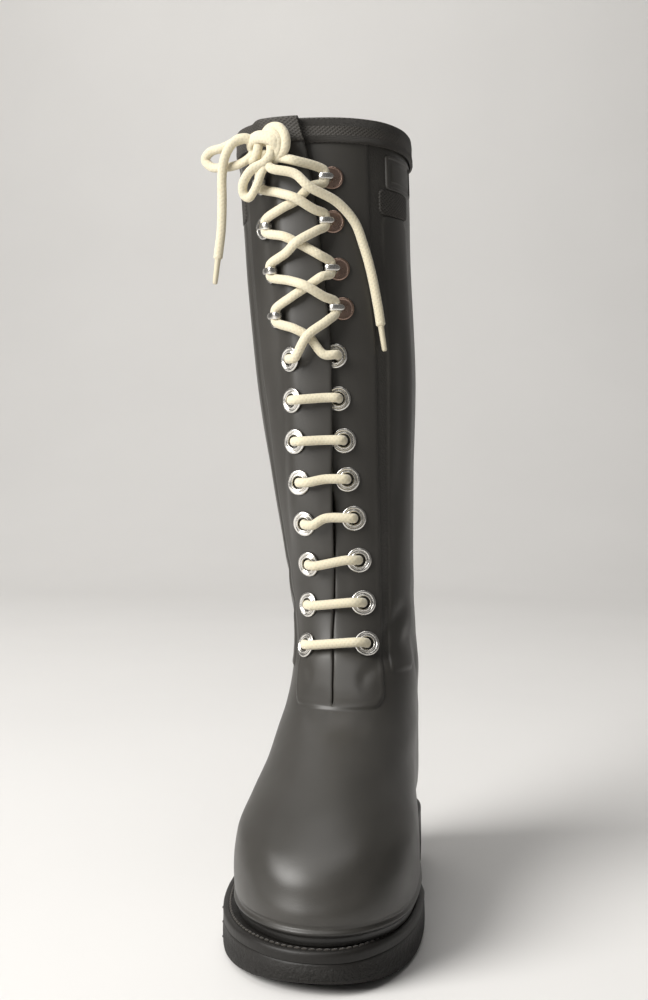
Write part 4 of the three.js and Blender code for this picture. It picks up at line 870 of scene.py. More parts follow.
class BOOT_OT_camera(bpy.types.Operator):
    """Put the camera at the photograph's angle to the boot"""
    bl_idname = "boot.camera"
    bl_label = "Camera"

    def execute(self, context):
        camera = bpy.data.cameras.new("Camera")
        camera.sensor_fit = "VERTICAL"
        camera.sensor_height = CAMERA_SENSOR
        camera.lens = CAMERA_SENSOR * CAMERA_FOCUS
        camera.clip_end = 50
        eye = bpy.data.objects.new("Camera", camera)
        context.scene.collection.objects.link(eye)
        yaw, pitch = math.radians(CAMERA_YAW), math.radians(CAMERA_PITCH)
        forward = Vector((math.sin(yaw) * math.cos(pitch), math.cos(yaw) * math.cos(pitch), -math.sin(pitch)))
        turn = forward.to_track_quat("-Z", "Y").to_matrix().to_4x4()
        roll = Matrix.Rotation(math.radians(-CAMERA_ROLL), 4, "Z")
        eye.matrix_world = Matrix.Translation(Vector(CAMERA_PLACE) * MM) @ turn @ roll
        context.scene.camera = eye
        return {"FINISHED"}


# Lace: routes in millimetres across, up and out from the knot
LACE_SEAT = LACE_RADIUS + 2.4 * CLEAR
LACE_OVER = LACE_SEAT + 0.93 * LACE_DIAMETER
LACE_START = CLEAR + EYELET_HEIGHT + CLEAR
LAP_SIDE = -1.2
HOOK_LOW = CLEAR + HOOK_DISC
HOOK_RISE = 3.3
KNOT_ARC = -19
KNOT_SEAT = 2 * CLEAR + BINDING_THICKNESS + 5.5
WRAP_WIDTH, WRAP_THICK = 1.36, 1.05
LOOP_LONG = [(-7.1, -1, 0), (-10.4, 0.4, 1), (-15.5, -0.4, 2), (-25, -2.8, 2), (-34.8, -4, 1.5), (-38.8, -7.8, 1),
             (-34.8, -12.4, 0.5), (-26, -13.8, 0.5), (-15.9, -13.6, 1), (-8.4, -11.2, 1), (-5.4, -8.4, 0)]
LOOP_SHORT = [(7.8, -11.7, 2.2), (4.7, -15, 3), (-2.4, -18, 4.6), (-7.2, -22.1, 4.6), (-10.4, -26.6, 3.5),
              (-10.9, -31, 2), (-7.7, -33.4, 1.5), (-3.8, -30.3, 2), (-0.4, -25.4, 2.5), (2, -20.5, 2.5),
              (3.9, -17.1, 2)]
END_OUTER = [(-4.9, -1, 1.5), (-8.2, 0.2, 4), (-12.7, -0.8, 6), (-17.9, -6, 7.2), (-21.2, -12.5, 7),
             (-23.2, -21.1, 6), (-24.4, -34.5, 4.5), (-26, -50, 3.5), (-29, -66, 3)]


def fittings():
    """Frames of the eyelets and hooks by name."""
    out = {}
    for k, (outer, inner, raised) in enumerate(EYELETS):
        z = LACING_FOOT_Z + k * EYELET_SHARE * LACING_HEIGHT
        out[f"eyelet_outer_{k + 1}"] = (z, -outer * LACING_WIDTH, EYELET_RADIUS, 1)
        out[f"eyelet_inner_{k + 1}"] = (z + raised, inner * LACING_WIDTH, EYELET_RADIUS, -1)
    for k, (outer, inner, raised) in enumerate(HOOKS):
        z = LACING_FOOT_Z + (1 - (len(HOOKS) - 1 - k) * HOOK_SHARE) * LACING_HEIGHT
        out[f"hook_outer_{k + 1}"] = (z, -outer * LACING_WIDTH, HOOK_RADIUS, 1)
        out[f"hook_inner_{k + 1}"] = (z + raised, inner * LACING_WIDTH, HOOK_RADIUS, -1)
    return {name: {**settled_frame(z, arc, r), "z": z, "arc": arc, "way": way}
            for name, (z, arc, r, way) in out.items()}


FITTINGS = fittings()
knot_frame = panel_frame(BOOT_HEIGHT - 0.87 * BINDING_HEIGHT, KNOT_ARC)


def from_knot(points):
    p = np.atleast_2d(np.asarray(points, float))
    return in_frame(knot_frame, p[:, 0], p[:, 1], KNOT_SEAT + p[:, 2])


def end_inner_route():
    z = FITTINGS["hook_inner_4"]["z"]
    rows = [(-0.5, -7, 9.5), (-8, LAP_SIDE, 9.5), (-15.5, 11, 8), (-26, 19, 4.6), (-39, 22.7, LACE_SEAT + CLEAR),
            (-54, 25.2, LACE_SEAT + CLEAR), (-74, 27, LACE_SEAT + CLEAR), (-84, 27.6, LACE_SEAT + CLEAR)]
    rows = np.array(rows)
    return np.vstack([from_knot([(4.6, -14.3, 0.5), (8, -18.4, 2)]), spot(z + rows[:, 0], rows[:, 1], rows[:, 2])])


def lace_size():
    """Half width and half thickness of the lace in millimetres."""
    sizes = bpy.context.scene.boot_sizes
    return dict(half_width=500 * sizes.lace_width, half_thick=500 * sizes.lace_thickness)


CORDS = {
    "loop_long": (from_knot(LOOP_LONG), 80, "object"),
    "loop_short": (from_knot(LOOP_SHORT), 64, "object"),
    "lace_end_outer": (from_knot(END_OUTER), 90, "fitting"),
    "lace_end_inner": (end_inner_route(), 110, "fitting"),
}


class BOOT_OT_cords(bpy.types.Operator):
    """Make the bow's loops and the two lace ends with their aglets"""
    bl_idname = "boot.cords"
    bl_label = "Loops and ends"

    def execute(self, context):
        for name, (route, count, far_end) in CORDS.items():
            path = smooth_path(route, count)
            piece = make_tubes(f"{name}_cotton", [dict(path=path, **lace_size())], ["cotton"], "cotton", name)
            on_it = []
            if far_end == "fitting":
                node_name = name.replace("lace_end", "aglet")
                on_it = [make_aglet(f"{node_name}_film", route, node_name)]
        return {"FINISHED"}


def make_aglet(name, route, node_name):
    """Aglet: a circle of slightly tapering radius carried along the lace's last direction."""
    direction = unit(route[-1] - route[-2])
    stations = np.array([-1.5, -0.6, 0.2, 2, 6, 11, 14.4, 15.1, 15.35])
    radii = np.array([2.35, 2.3, 1.85, 1.7, 1.6, 1.55, 1.45, 1.1, 0.5])
    path = route[-1] + direction * stations[:, None]
    _, side, top = path_frames(path, np.array((0, -1, 0.0)))
    sides = 20
    a = np.arange(sides)[:, None] / sides * TURN
    points = path[:, None] + (np.cos(a) * side[:, None] + np.sin(a) * top[:, None]) * radii[:, None, None]
    index = np.arange(len(path) * sides).reshape(-1, sides)
    faces = [grid_faces(index, wrap_cols=True), index[:1, ::-1], index[-1:]]
    return dress(make_mesh(name, points.reshape(-1, 3), faces), ["film"], "aglet_film", node_name)


def upper_rows():
    """Heights of the upper's rows, close together at the rand, the panel's foot and the strip's ends."""
    spans = [(FEATHER, FEATHER + 14, 30), (FEATHER + 14, PANEL_BOTTOM_Z - 2, 54),
             (PANEL_BOTTOM_Z - 2, SLIT_BOTTOM_Z, 7), (SLIT_BOTTOM_Z, SLIT_BOTTOM_Z + 9, 8),
             (SLIT_BOTTOM_Z + 9, STRIP_BOTTOM_Z + 1.6, 7), (STRIP_BOTTOM_Z + 1.6, STRIP_TOP_Z - 0.6, 106),
             (STRIP_TOP_Z - 0.6, STRIP_TOP_Z + 1.2, 4), (STRIP_TOP_Z + 1.2, BINDING_LOW_Z, 16),
             (BINDING_LOW_Z, COLLAR_Z, 5)]
    return np.concatenate([np.linspace(a, b, n, endpoint=False) for a, b, n in spans] + [[COLLAR_Z]])


# A longer step between neighbouring arcs is the change of halves at the back
ARC_JUMP = 50
# Distances of the first columns from the slit's edge
EDGE_COLUMNS = np.array([0, 0.15, 0.4, 0.8, 1.4])


def upper_columns(z):
    """Angles of the columns from the slit's outer edge round the heel to its inner edge, and their arcs."""
    slit = line_angle(SLIT, z)
    arcs = {k: arc_at_angle(z, slit, line_angle(k, z)) for k in (PANEL_OUTER, PANEL_INNER, STRIP_OUTER, STRIP_INNER)}
    is_open = slit_open(z)
    first = np.where(is_open, -SLIT_GAP / 2, 0)
    last = np.where(is_open, mix(SLIT_GAP / 2, -FLAP_OVERLAP, lap_share(z)), 0)

    def half(start, panel, strip, way):
        """Columns from the slit's edge to beyond the strip; way is -1 on the outer half."""
        far = strip + way * STRIP_WIDTH
        marks = [start + way * 2.4, panel - way, panel + way * 1.4, strip - way * 0.5, strip + way * 1.3,
                 far - way * 0.5, far + way * 1.3]
        spans = [a[:, None] + (b - a)[:, None] * np.arange(count) / count
                 for a, b, count in zip(marks, marks[1:], (28, 6, 7, 4, 13, 4))]
        return np.hstack([start[:, None] + way * EDGE_COLUMNS, *spans])

    outer_arc = half(first, arcs[PANEL_OUTER], arcs[STRIP_OUTER], -1)
    inner_arc = half(last, arcs[PANEL_INNER], arcs[STRIP_INNER], 1)[:, ::-1]
    outer_angle = angle_at_arc(z, slit, outer_arc)
    inner_angle = angle_at_arc(z, slit, inner_arc) + TURN
    t = np.linspace(0, 1, 92)[1:-1]
    back_angle = outer_angle[:, -1:] + (inner_angle[:, :1] - outer_angle[:, -1:]) * t[None, :]
    angle = np.hstack([outer_angle, back_angle, inner_angle])
    way = walked(section_point(angle, z[:, None])[..., :2])
    from_outer = first[:, None] - way
    from_inner = last[:, None] + way[:, -1:] - way
    arc = np.where(way < way[:, -1:] - way, from_outer, from_inner)
    return angle, arc, arcs


# Creases in the rubber: start arc and height, end arc and height, bow, depth (a ridge is negative), width
CREASES = [
    (-20, 112, 22, 108, -3, 0.5, 4.5), (-34, 140, -14, 128, 2, 0.55, 3.5), (14, 126, 40, 143, 3, 0.6, 4),
    (24, 136, 52, 168, 5, 0.7, 5), (30, 168, 36, 240, -3, 0.45, 4.5), (-58, 150, -34, 172, 3, 0.8, 5),
    (-64, 176, -36, 192, 2, 0.5, 5), (-50, 200, -48, 300, 2, 0.35, 5), (40, 200, 46, 330, -2, 0.45, 6),
    (46, 150, 84, 128, 5, 0.8, 6), (60, 176, 96, 160, 4, 0.6, 6), (-96, 158, -60, 134, 5, 0.8, 6),
    (-102, 184, -70, 168, 3, 0.5, 6), (58, 240, 62, 390, 2, -0.35, 7), (-8, 186, 10, 180, 1, 0.25, 3),
    (-30, 62, 34, 64, -8, -0.55, 9), (-30, 48, 30, 50, -6, 0.45, 6), (-6, 226, 8, 230, 1, 0.2, 3),
    (-70, 250, -66, 380, 2, -0.3, 7), (96, 230, 100, 400, 3, 0.4, 9), (-104, 250, -100, 400, 3, 0.4, 9),
]


def crease_field(arc, z):
    """Sum of soft troughs: depth times a bell of the distance to a bowed line, fading at its ends."""
    total = np.zeros_like(arc)
    for a0, z0, a1, z1, bow, depth, width in CREASES:
        da, dz = a1 - a0, z1 - z0
        length = math.hypot(da, dz)
        along = ((arc - a0) * da + (z - z0) * dz) / length ** 2
        across = ((z - z0) * da - (arc - a0) * dz) / length
        across = across - bow * 4 * along * (1 - along)
        fade = smooth(along / 0.25 + 0.3) * smooth((1 - along) / 0.25 + 0.3)
        total -= depth * np.exp(-(across / width) ** 2) * fade
    return total


def box_distance(dx, dz, corner):
    """Distance outside a box with rounded corners, from the distances beyond its sides."""
    qx, qz = dx + corner, dz + corner
    return np.hypot(np.maximum(qx, 0), np.maximum(qz, 0)) + np.minimum(np.maximum(qx, qz), 0) - corner


# Rand above the welt: height above the feather line and offset
RAND = np.array([(-1, 0.9), (0, 0.9), (2.2, 1.0), (4.2, 0.85), (5.3, 1.25), (6.2, 1.45), (7, 1.0), (7.8, -0.35),
                 (8.8, -0.35), (10, -0.05), (16, 0.0)])


def outer_relief(z, arc, arcs, crease):
    """Offset of the upper's outer face: panel and strip steps, rand and creases."""
    panel_dx = np.maximum(arcs[PANEL_OUTER][:, None] - arc, arc - arcs[PANEL_INNER][:, None])
    panel = box_distance(panel_dx, PANEL_BOTTOM_Z - z, PANEL_CORNER)
    step = PANEL_STEP * (1 - smooth(panel / EDGE_STEP_WIDTH))
    step += 0.22 * np.exp(-((panel + 1.5) / 0.8) ** 2) - 0.12 * np.exp(-((panel - 1.5) / 0.7) ** 2)
    inner_strip = np.maximum(arcs[STRIP_INNER][:, None] - arc, arc - arcs[STRIP_INNER][:, None] - STRIP_WIDTH)
    outer_strip = np.maximum(arc - arcs[STRIP_OUTER][:, None], arcs[STRIP_OUTER][:, None] - STRIP_WIDTH - arc)
    strip_dx = np.where(arc > 0, inner_strip, outer_strip)
    strip_dz = np.maximum(STRIP_BOTTOM_Z - z, z - STRIP_TOP_Z)
    strip = box_distance(strip_dx, strip_dz, 3)
    step += STRIP_STEP * (1 - smooth(strip / EDGE_STEP_WIDTH))
    step += 0.18 * np.exp(-((strip + 1.4) / 0.8) ** 2)
    rand = curve(RAND[:, 0], RAND[:, 1])(z - FEATHER)
    free = smooth((z - FEATHER - 12) / 6) * (1 - smooth((z - BINDING_LOW_Z + 8) / 8))
    return step + rand + crease * free * crease_field(arc, z), panel, strip


# Dip of the rubber under an eyelet, and how far beyond the hole it fades
HOLE_DIP, HOLE_RAMP = 1.7, 0.9


class BOOT_OT_upper(bpy.types.Operator):
    """Make the rubber upper with its lining, panel, strips, rand and creases"""
    bl_idname = "boot.upper"
    bl_label = "Upper"

    def execute(self, context):
        z = upper_rows()
        angle, arc, arcs = upper_columns(z)
        zz = np.repeat(z[:, None], angle.shape[1], 1)
        relief, panel, strip = outer_relief(zz, arc, arcs, context.scene.boot_sizes.crease_depth)
        main = section_point(angle, zz)
        normal = section_normal(angle, zz)
        columns = angle.shape[1]
        outer_side = np.arange(columns)[None, :] < columns // 2
        lift = np.where(outer_side & (arc <= 0), lap_lift(zz, np.minimum(arc, 0)), 0)
        is_open = slit_open(zz)
        first = np.abs(arc - arc[:, :1])
        last = np.abs(arc - arc[:, -1:])
        to_edge = np.where(outer_side, first, last)
        edge = np.where(is_open, 0.75 * (1 - np.sqrt(1 - (1 - clamp01(to_edge / EDGE_COLUMNS[-1])) ** 2)), 0)
        seam = np.where(is_open, 0, 0.5 * np.exp(-(arc / 0.8) ** 2) * smooth((zz - PANEL_BOTTOM_Z) / 0.5))
        holes = 0
        for name, f in FITTINGS.items():
            if name.startswith("eyelet"):
                beyond = np.hypot(arc - f["arc"], zz - f["z"]) - EYELET_HOLE
                holes = holes + HOLE_DIP * (1 - smooth(beyond / HOLE_RAMP)) * (outer_side == (f["way"] > 0))
        outside = main + normal * (relief + lift - edge - seam - holes)[..., None]
        kept = [len(z) - 1, np.argmin(abs(z - SLIT_BOTTOM_Z))]
        inner_rows = np.unique(np.concatenate([np.arange(0, len(z), 4), kept]))
        inside = (main + normal * (lift - WALL + 0.4 * edge)[..., None])[inner_rows]
        rows = len(z)
        o = np.arange(rows * columns).reshape(rows, columns)
        i = np.arange(len(inner_rows) * columns).reshape(-1, columns) + rows * columns
        closed = ~slit_open(z)
        o[closed, -1] = o[closed, 0]
        i[closed[inner_rows], -1] = i[closed[inner_rows], 0]
        faces = [grid_faces(o), grid_faces(i)[:, ::-1]]
        faces.append(grid_faces(np.stack([i[0], o[0]])))
        faces.append(grid_faces(np.stack([o[-1], i[-1]])))
        slit_row = int(np.flatnonzero(closed)[-1])
        r = np.arange(slit_row, rows - 1)
        owner = np.searchsorted(inner_rows, r, side="right") - 1
        k = np.flatnonzero(inner_rows >= slit_row)[:-1]
        for end, flip in ((0, 1), (columns - 1, -1)):
            a = np.stack([o[r, end], o[r + 1, end], i[owner, end]], 1)
            b = np.stack([i[k, end], o[inner_rows[k + 1], end], i[k + 1, end]], 1)
            faces += [a[:, ::flip], b[:, ::flip]]
        whole, thin = tidy_faces(np.vstack([f for f in faces if f.shape[1] == 4]))
        triangles = np.vstack([thin] + [f for f in faces if f.shape[1] == 3])
        lined = (whole >= rows * columns).all(1)
        material = np.concatenate([lined, np.zeros(len(triangles), bool)]).astype(int)
        stipple = smooth(panel / 2) * smooth((zz - ANKLE_Z) / 30) * smooth(strip / 1.5 + 0.4)
        values = np.concatenate([stipple.reshape(-1), np.zeros(inside.shape[0] * columns)])
        # Painted shade for the rand: 1 up to 4.6 mm above the feather line, fading to 0 at 8.2 mm, darkening the
        # colour there in place of its shadow.
        painted_rand_shade = 1 - smooth((zz - FEATHER - 4.6) / 3.6)
        painted_rand_shade = np.concatenate([painted_rand_shade.reshape(-1), np.zeros(inside.shape[0] * columns)])
        verts = np.vstack([outside.reshape(-1, 3), inside.reshape(-1, 3)])
        piece = make_mesh("upper_shell", verts, [whole, triangles], face_material=material,
                          values={"stipple": values, "painted_rand_shade": painted_rand_shade})
        dress(piece, ["upper", "lining"], "upper_rubber", "upper")
        return {"FINISHED"}


class BOOT_OT_binding(bpy.types.Operator):
    """Make the woven tape over the collar's rim"""
    bl_idname = "boot.binding"
    bl_label = "Collar tape"

    def execute(self, context):
        z = np.array([BINDING_LOW_Z, COLLAR_Z])
        angle, arc, _ = upper_columns(z)
        columns = angle.shape[1]
        outer_side = np.arange(columns) < columns // 2
        out_low, out_high = CLEAR + PANEL_STEP + 0.25, CLEAR + 0.9 * PANEL_STEP
        profile = [(0, out_low - 0.6, 0), (0, out_low + 0.55, 0.15), (0.02, out_low + 0.95, 1.0),
                   (0.12, out_low + 1.02, 0), (0.3, out_low + 1.0, 0), (0.5, out_high + 1.0, 0),
                   (0.7, out_high + 1.0, 0), (0.86, out_high + 1, 0)]
        t = np.linspace(0, math.pi, 9)
        rim = 0.5 * (out_high + 1 + WALL + CLEAR + 1)
        centre = 0.5 * (out_high + 1 - WALL - CLEAR - 1)
        profile += [(1, centre + rim * math.cos(a), (CLEAR + BINDING_THICKNESS) * math.sin(a) ** 0.7) for a in t]
        inside = -WALL - CLEAR - BINDING_THICKNESS
        hidden = -WALL - CLEAR + 0.2
        profile += [(0.7, inside, 0), (0.4, inside, 0), (0.1, inside, 0), (0.01, inside + 0.1, 0.2),
                    (0, inside + 0.6, 0), (0.1, hidden, 0), (0.9, hidden, 0), (0.98, 0, 0.1),
                    (0.9, out_high - 0.1, 0)]
        share, offset, rise = np.array(profile).T
        zz = BINDING_LOW_Z + share[:, None] * (COLLAR_Z - BINDING_LOW_Z) + 0 * angle[:1]
        turned = mix(angle[:1], angle[1:2], share[:, None])
        turned_arc = mix(arc[:1], arc[1:2], share[:, None])
        lift = np.where(outer_side[None, :] & (turned_arc <= 0), lap_lift(zz, np.minimum(turned_arc, 0)), 0)
        ends = np.minimum(np.abs(turned_arc - turned_arc[:, :1]), np.abs(turned_arc - turned_arc[:, -1:]))
        ease = 0.35 * np.exp(-ends / 0.8)
        step = np.diff(turned_arc, axis=1, prepend=turned_arc[:, :1])
        run = turned_arc - np.cumsum(np.where(np.abs(step) > ARC_JUMP, step, 0), axis=1)
        wobble = 0.12 * np.sin(run / 9.0) + 0.08 * np.sin(run / 3.7 + 1)
        off = offset[:, None] + lift + np.where(offset[:, None] > 1, wobble - ease, 0)
        points = lifted(turned, zz, off)
        points[..., 2] += rise[:, None]
        length = np.concatenate([[0], np.cumsum(np.hypot(np.diff(share * BINDING_HEIGHT), np.diff(offset)))])
        uv = np.stack(np.broadcast_arrays(run / 10, length[:, None] / 10), -1).reshape(-1, 2)
        index = np.arange(points.shape[0] * columns).reshape(-1, columns)
        faces = [grid_faces(index, wrap_rows=True), index[:, 0][None, ::-1], index[:, -1][None, :]]
        piece = make_mesh("collar_tape", points.reshape(-1, 3), faces, uv)
        sharpen(piece, 50)
        dress(piece, ["tape"], "binding_tape", "binding")
        return {"FINISHED"}


def sole_stations(extra=()):
    u = np.linspace(0, 1, 170)
    return np.unique(np.concatenate([(1 - np.cos(math.pi * u)) / 2, np.asarray(extra, float)]))


def sole_ring(stations):
    """Outline points from the heel round the inner side to the toe and back, and outward normals."""
    inner = np.stack([sole_half_width(stations, True), BACK_Y - stations * SOLE_LENGTH], 1)
    outer = np.stack([-sole_half_width(stations, False), BACK_Y - stations * SOLE_LENGTH], 1)[1:-1][::-1]
    flat = np.vstack([inner, outer])
    tangent = unit(np.roll(flat, -1, 0) - np.roll(flat, 1, 0))
    return flat, np.stack([-tangent[:, 1], tangent[:, 0]], 1)


def sole_body(name, rows, height, middle_rows, groove, rough, materials, slot, node_name):
    """Closed sole piece: rows of inset and height carried round the outline, closed over the middle.

    rows hold (inset, height key, extra height); middle_rows are shares of the way in to the centre line
    at the bottom, and the top is closed in two steps."""
    extra = [g + d / SOLE_LENGTH for g in GROOVES for d in (-2.7, -2.3, 2.3, 2.7)]
    stations = sole_stations(extra)
    flat, normal = sole_ring(stations)
    count = len(flat)
    layers = []
    for inset, key, rise in rows:
        xy = flat - normal * inset
        layers.append(np.column_stack([xy, height(key, xy[:, 1]) + rise]))
    bottom, top = layers[-1], layers[0]

    def inward(ring, share, grooved):
        centre = 0.5 * (ring + ring[mirrored(count)])
        p = mix(ring, centre, share)
        if grooved:
            p[:, 2] = height(rows[-1][1], p[:, 1]) + groove(p[:, 0], p[:, 1])
        return p

    below = [inward(bottom, s, True) for s in middle_rows]
    above = [inward(top, s, False) for s in (1.0, 0.5)]
    keys = np.concatenate([np.zeros(len(above)), rough, np.full(len(below), 0.7)])
    piece = stack_mesh(name, above + layers + below, {"rough": np.repeat(keys, count)})
    sharpen(piece, 44)
    return dress(piece, materials, slot, node_name)


def no_groove(x, y):
    return 0 * x


def tread(x, y):
    """Tread under the sole: cross grooves inside the rim, and shallow waves between them."""
    s = along_sole(y)
    inside = np.minimum(sole_half_width(s, True) - TREAD_RIM - x, x + sole_half_width(s, False) - TREAD_RIM)
    depth = 0 * x
    for g in GROOVES:
        d = np.abs(y - (BACK_Y - g * SOLE_LENGTH))
        depth = np.maximum(depth, TREAD_DEPTH * (1 - smooth((d - 2.2) / 0.6)))
    wave = 0.35 * (0.5 + 0.5 * np.sin(y * 1.1 + 2.2 * np.sin(x / 6.0)))
    return (depth + wave) * smooth(inside / 1.2)


class BOOT_OT_sole(bpy.types.Operator):
    """Make the outsole, the welt and the row of stitches along it"""
    bl_idname = "boot.sole"
    bl_label = "Sole and welt"

    def execute(self, context):
        def outsole_height(key, y):
            low, high = sole_bottom(y), sole_top(y) - WELT_THICKNESS - CLEAR
            return mix(low, high, key)

        t = np.linspace(0, math.pi / 2, 5)
        rows = [(0.7, 1, 0.2), (0.2, 1, 0.15), (0.02, 1, -0.1)]
        rows += [(0.35 * math.sin(s * math.pi) ** 2 * -0.6, 1 - s, 0) for s in np.linspace(0.08, 0.78, 9)]
        rows += [(3 - 3 * math.cos(a), 0, 2.6 - 2.6 * math.sin(a)) for a in t]
        rough = np.concatenate([[0.1, 0.1, 0.1], np.clip(np.linspace(0.3, 1.6, 9), 0, 1), np.ones(5)])
        sole_body("outsole_rubber", rows, outsole_height, np.linspace(0, 1, 26)[1:], tread, rough,
                  ["sole"], "sole_rubber", "outsole")

        def welt_height(key, y):
            return mix(sole_top(y) - WELT_THICKNESS, sole_top(y), key)

        rows = [(13, 1, -0.05), (7.6, 1, -0.05), (5.2, 1, -0.02), (4.5, 1, 0), (4.15, 1, -0.35),
                (STITCH_INSET, 1, -0.5),
                (3.35, 1, -0.35), (3.0, 1, 0), (2.2, 1, 0.05), (1.4, 1, -0.03), (0.8, 1, -0.25), (0.3, 1, -0.7),
                (0.02, 1, -1.4), (-0.05, 0.6, 0), (0, 0.35, 0), (0.02, 0, 0.6), (0.08, 0, 0.1), (0.6, 0, -0.1)]
        rough = np.array([0.2, 0.2, 0.35, 0.4, 0.4, 0.4, 0.4, 0.35, 0.2, 0.08] + [0.05] * 3 + [0.1] * 5)
        sole_body("welt_rubber", rows, welt_height, [0.5, 1.0], no_groove, rough,
                  ["sole"], "sole_rubber", "welt")
        self.stitches(context)
        self.nubs()
        return {"FINISHED"}

    def stitches(self, context):
        """Stitches: small capsules laid end to end in the welt's groove, each an ellipsoid grid."""
        flat, normal = sole_ring(sole_stations())
        line = flat - normal * STITCH_INSET
        closed = np.vstack([line, line[:1]])
        fine = np.column_stack([closed, sole_top(closed[:, 1])])
        pitch = 1000 * context.scene.boot_sizes.stitch_pitch
        count = int(np.linalg.norm(np.diff(fine, axis=0), axis=1).sum() / pitch)
        path = even_path(fine, count + 1)
        middle = 0.5 * (path[1:] + path[:-1])
        along = unit(path[1:] - path[:-1])
        side = unit(np.cross(along, [0, 0, 1.0]))
        up = np.cross(side, along)
        half = 0.44 * np.linalg.norm(path[1:] - path[:-1], axis=1)
        u = np.array([0.0, 0.35, 0.8, 1.25, 1.6, 2.0]) / 2.0 * math.pi
        v = np.arange(6) / 6 * TURN
        lx = -np.cos(u)[:, None] + 0 * v[None, :]
        lr = np.sin(u)[:, None]
        ly, lz = 0.8 * lr * np.cos(v), 0.62 * lr * np.sin(v)
        points = (middle[:, None, None] + along[:, None, None] * (half[:, None, None] * lx)[..., None]
                  + side[:, None, None] * ly[None, ..., None] + up[:, None, None] * (lz - 0.05)[None, ..., None])
        index = np.arange(u.size * v.size).reshape(u.size, v.size)
        whole, _ = tidy_faces(grid_faces(index, wrap_cols=True))
        faces = (whole[None] + index.size * np.arange(len(middle))[:, None, None]).reshape(-1, 4)
        piece = make_mesh("welt_stitches", points.reshape(-1, 3), [faces])
        weld(piece, 1e-5)
        dress(piece, ["thread"], "sole_rubber")

    def nubs(self):
        """Moulding nubs on the outer side of the sole: short round pegs."""
        u = np.array([0, 0.9, 1.2, 1.25])
        r = np.array([0.8, 0.7, 0.45, 0.01])
        a = np.arange(10) / 10 * TURN
        places = [(-160, 18.0), (-160, 10.5), (-166, 4.8), (-96, 10)]
        verts, faces = [], []
        for k, (y, z) in enumerate(places):
            s = along_sole(y)
            x = -float(sole_half_width(s, False))
            ring = np.stack([x - u[:, None] + 0.75 + 0 * a,
                             y + r[:, None] * np.cos(a), z + r[:, None] * np.sin(a)], -1)
            count = u.size * a.size
            index = np.arange(count).reshape(u.size, a.size) + count * k
            verts.append(ring.reshape(-1, 3))
            faces += [grid_faces(index, wrap_cols=True), index[:1, ::-1], index[-1:]]
        dress(make_mesh("sole_nubs", np.vstack(verts), faces), ["sole"], "sole_rubber")


class BOOT_OT_inside(bpy.types.Operator):
    """Make the cloth-covered insole and the tongue behind the slit"""
    bl_idname = "boot.inside"
    bl_label = "Insole and tongue"

    def execute(self, context):
        count = 160
        a = np.arange(count) / count * TURN
        level = np.full(count, FEATHER + INSOLE_THICKNESS / 2)
        rim = lifted(a, level, -WALL - 1.6)
        centre = 0.5 * (rim + rim[mirrored(count)])
        rows = [(1, CLEAR), (0.5, CLEAR), (0.02, CLEAR), (0, CLEAR + 0.5), (0, INSOLE_THICKNESS - 0.6),
                (0.015, INSOLE_THICKNESS + 0.2), (0.05, INSOLE_THICKNESS + CLEAR)]
        rows += [(s, INSOLE_THICKNESS + CLEAR - 0.5 * math.sin(s * 1.5)) for s in np.linspace(0.12, 1, 12)]
        layers = []
        for share, height in rows:
            p = mix(rim, centre, share)
            p[:, 2] = sole_top(p[:, 1]) + height
            layers.append(p)
        dress(stack_mesh("insole_cover", layers), ["insole"], "insole_cloth", "insole")

        z = np.linspace(FEATHER + 0.83 * INSTEP_RISE, BINDING_LOW_Z - 9, 90)
        arc = np.linspace(-TONGUE_REACH, TONGUE_REACH, 40)
        slit = line_angle(SLIT, z)
        arcs = np.repeat(arc[None, :], len(z), 0)
        angle = angle_at_arc(z, slit, arcs)
        zz = np.repeat(z[:, None], len(arc), 1)
        round_edge = 0.5 * TONGUE_THICKNESS * np.sqrt(1 - clamp01(np.abs(arc) / TONGUE_REACH) ** 12)
        centre = -WALL - 2.4 * CLEAR - TONGUE_THICKNESS / 2
        front = lifted(angle, zz, centre + round_edge)
        back = lifted(angle, zz, centre - round_edge)
        ring = np.concatenate([front, back[:, ::-1]], 1)
        index = np.arange(len(z) * 2 * len(arc)).reshape(len(z), -1)
        half = len(arc)
        caps = [np.stack([i[:half - 1], i[1:half], i[::-1][1:half], i[::-1][:half - 1]], 1) for i in index[[0, -1]]]
        caps[1] = caps[1][:, ::-1]
        piece = make_mesh("tongue_sheet", ring.reshape(-1, 3), [grid_faces(index, wrap_cols=True)] + caps)
        dress(piece, ["lining"], "upper_rubber", "tongue")
        return {"FINISHED"}


def plate_relief(kind, u, v, width, height):
    """Height over a plate from the distance inside its rounded rim; u and v run over its face."""
    corner = 3.0 if kind == "badge" else 3.5
    inside = -box_distance(np.abs(u - width / 2) - width / 2, np.abs(v - height / 2) - height / 2, corner)
    rim = np.sqrt(clamp01(1 - (1 - clamp01(inside / 0.9)) ** 2))
    if kind == "patch":
        return inside, rim
    sunk = smooth((inside - 2.0) / 0.6) * 0.7
    raised = smooth((inside - 5.0) / 0.5) * 0.45
    return inside, 1.25 * rim - sunk + raised


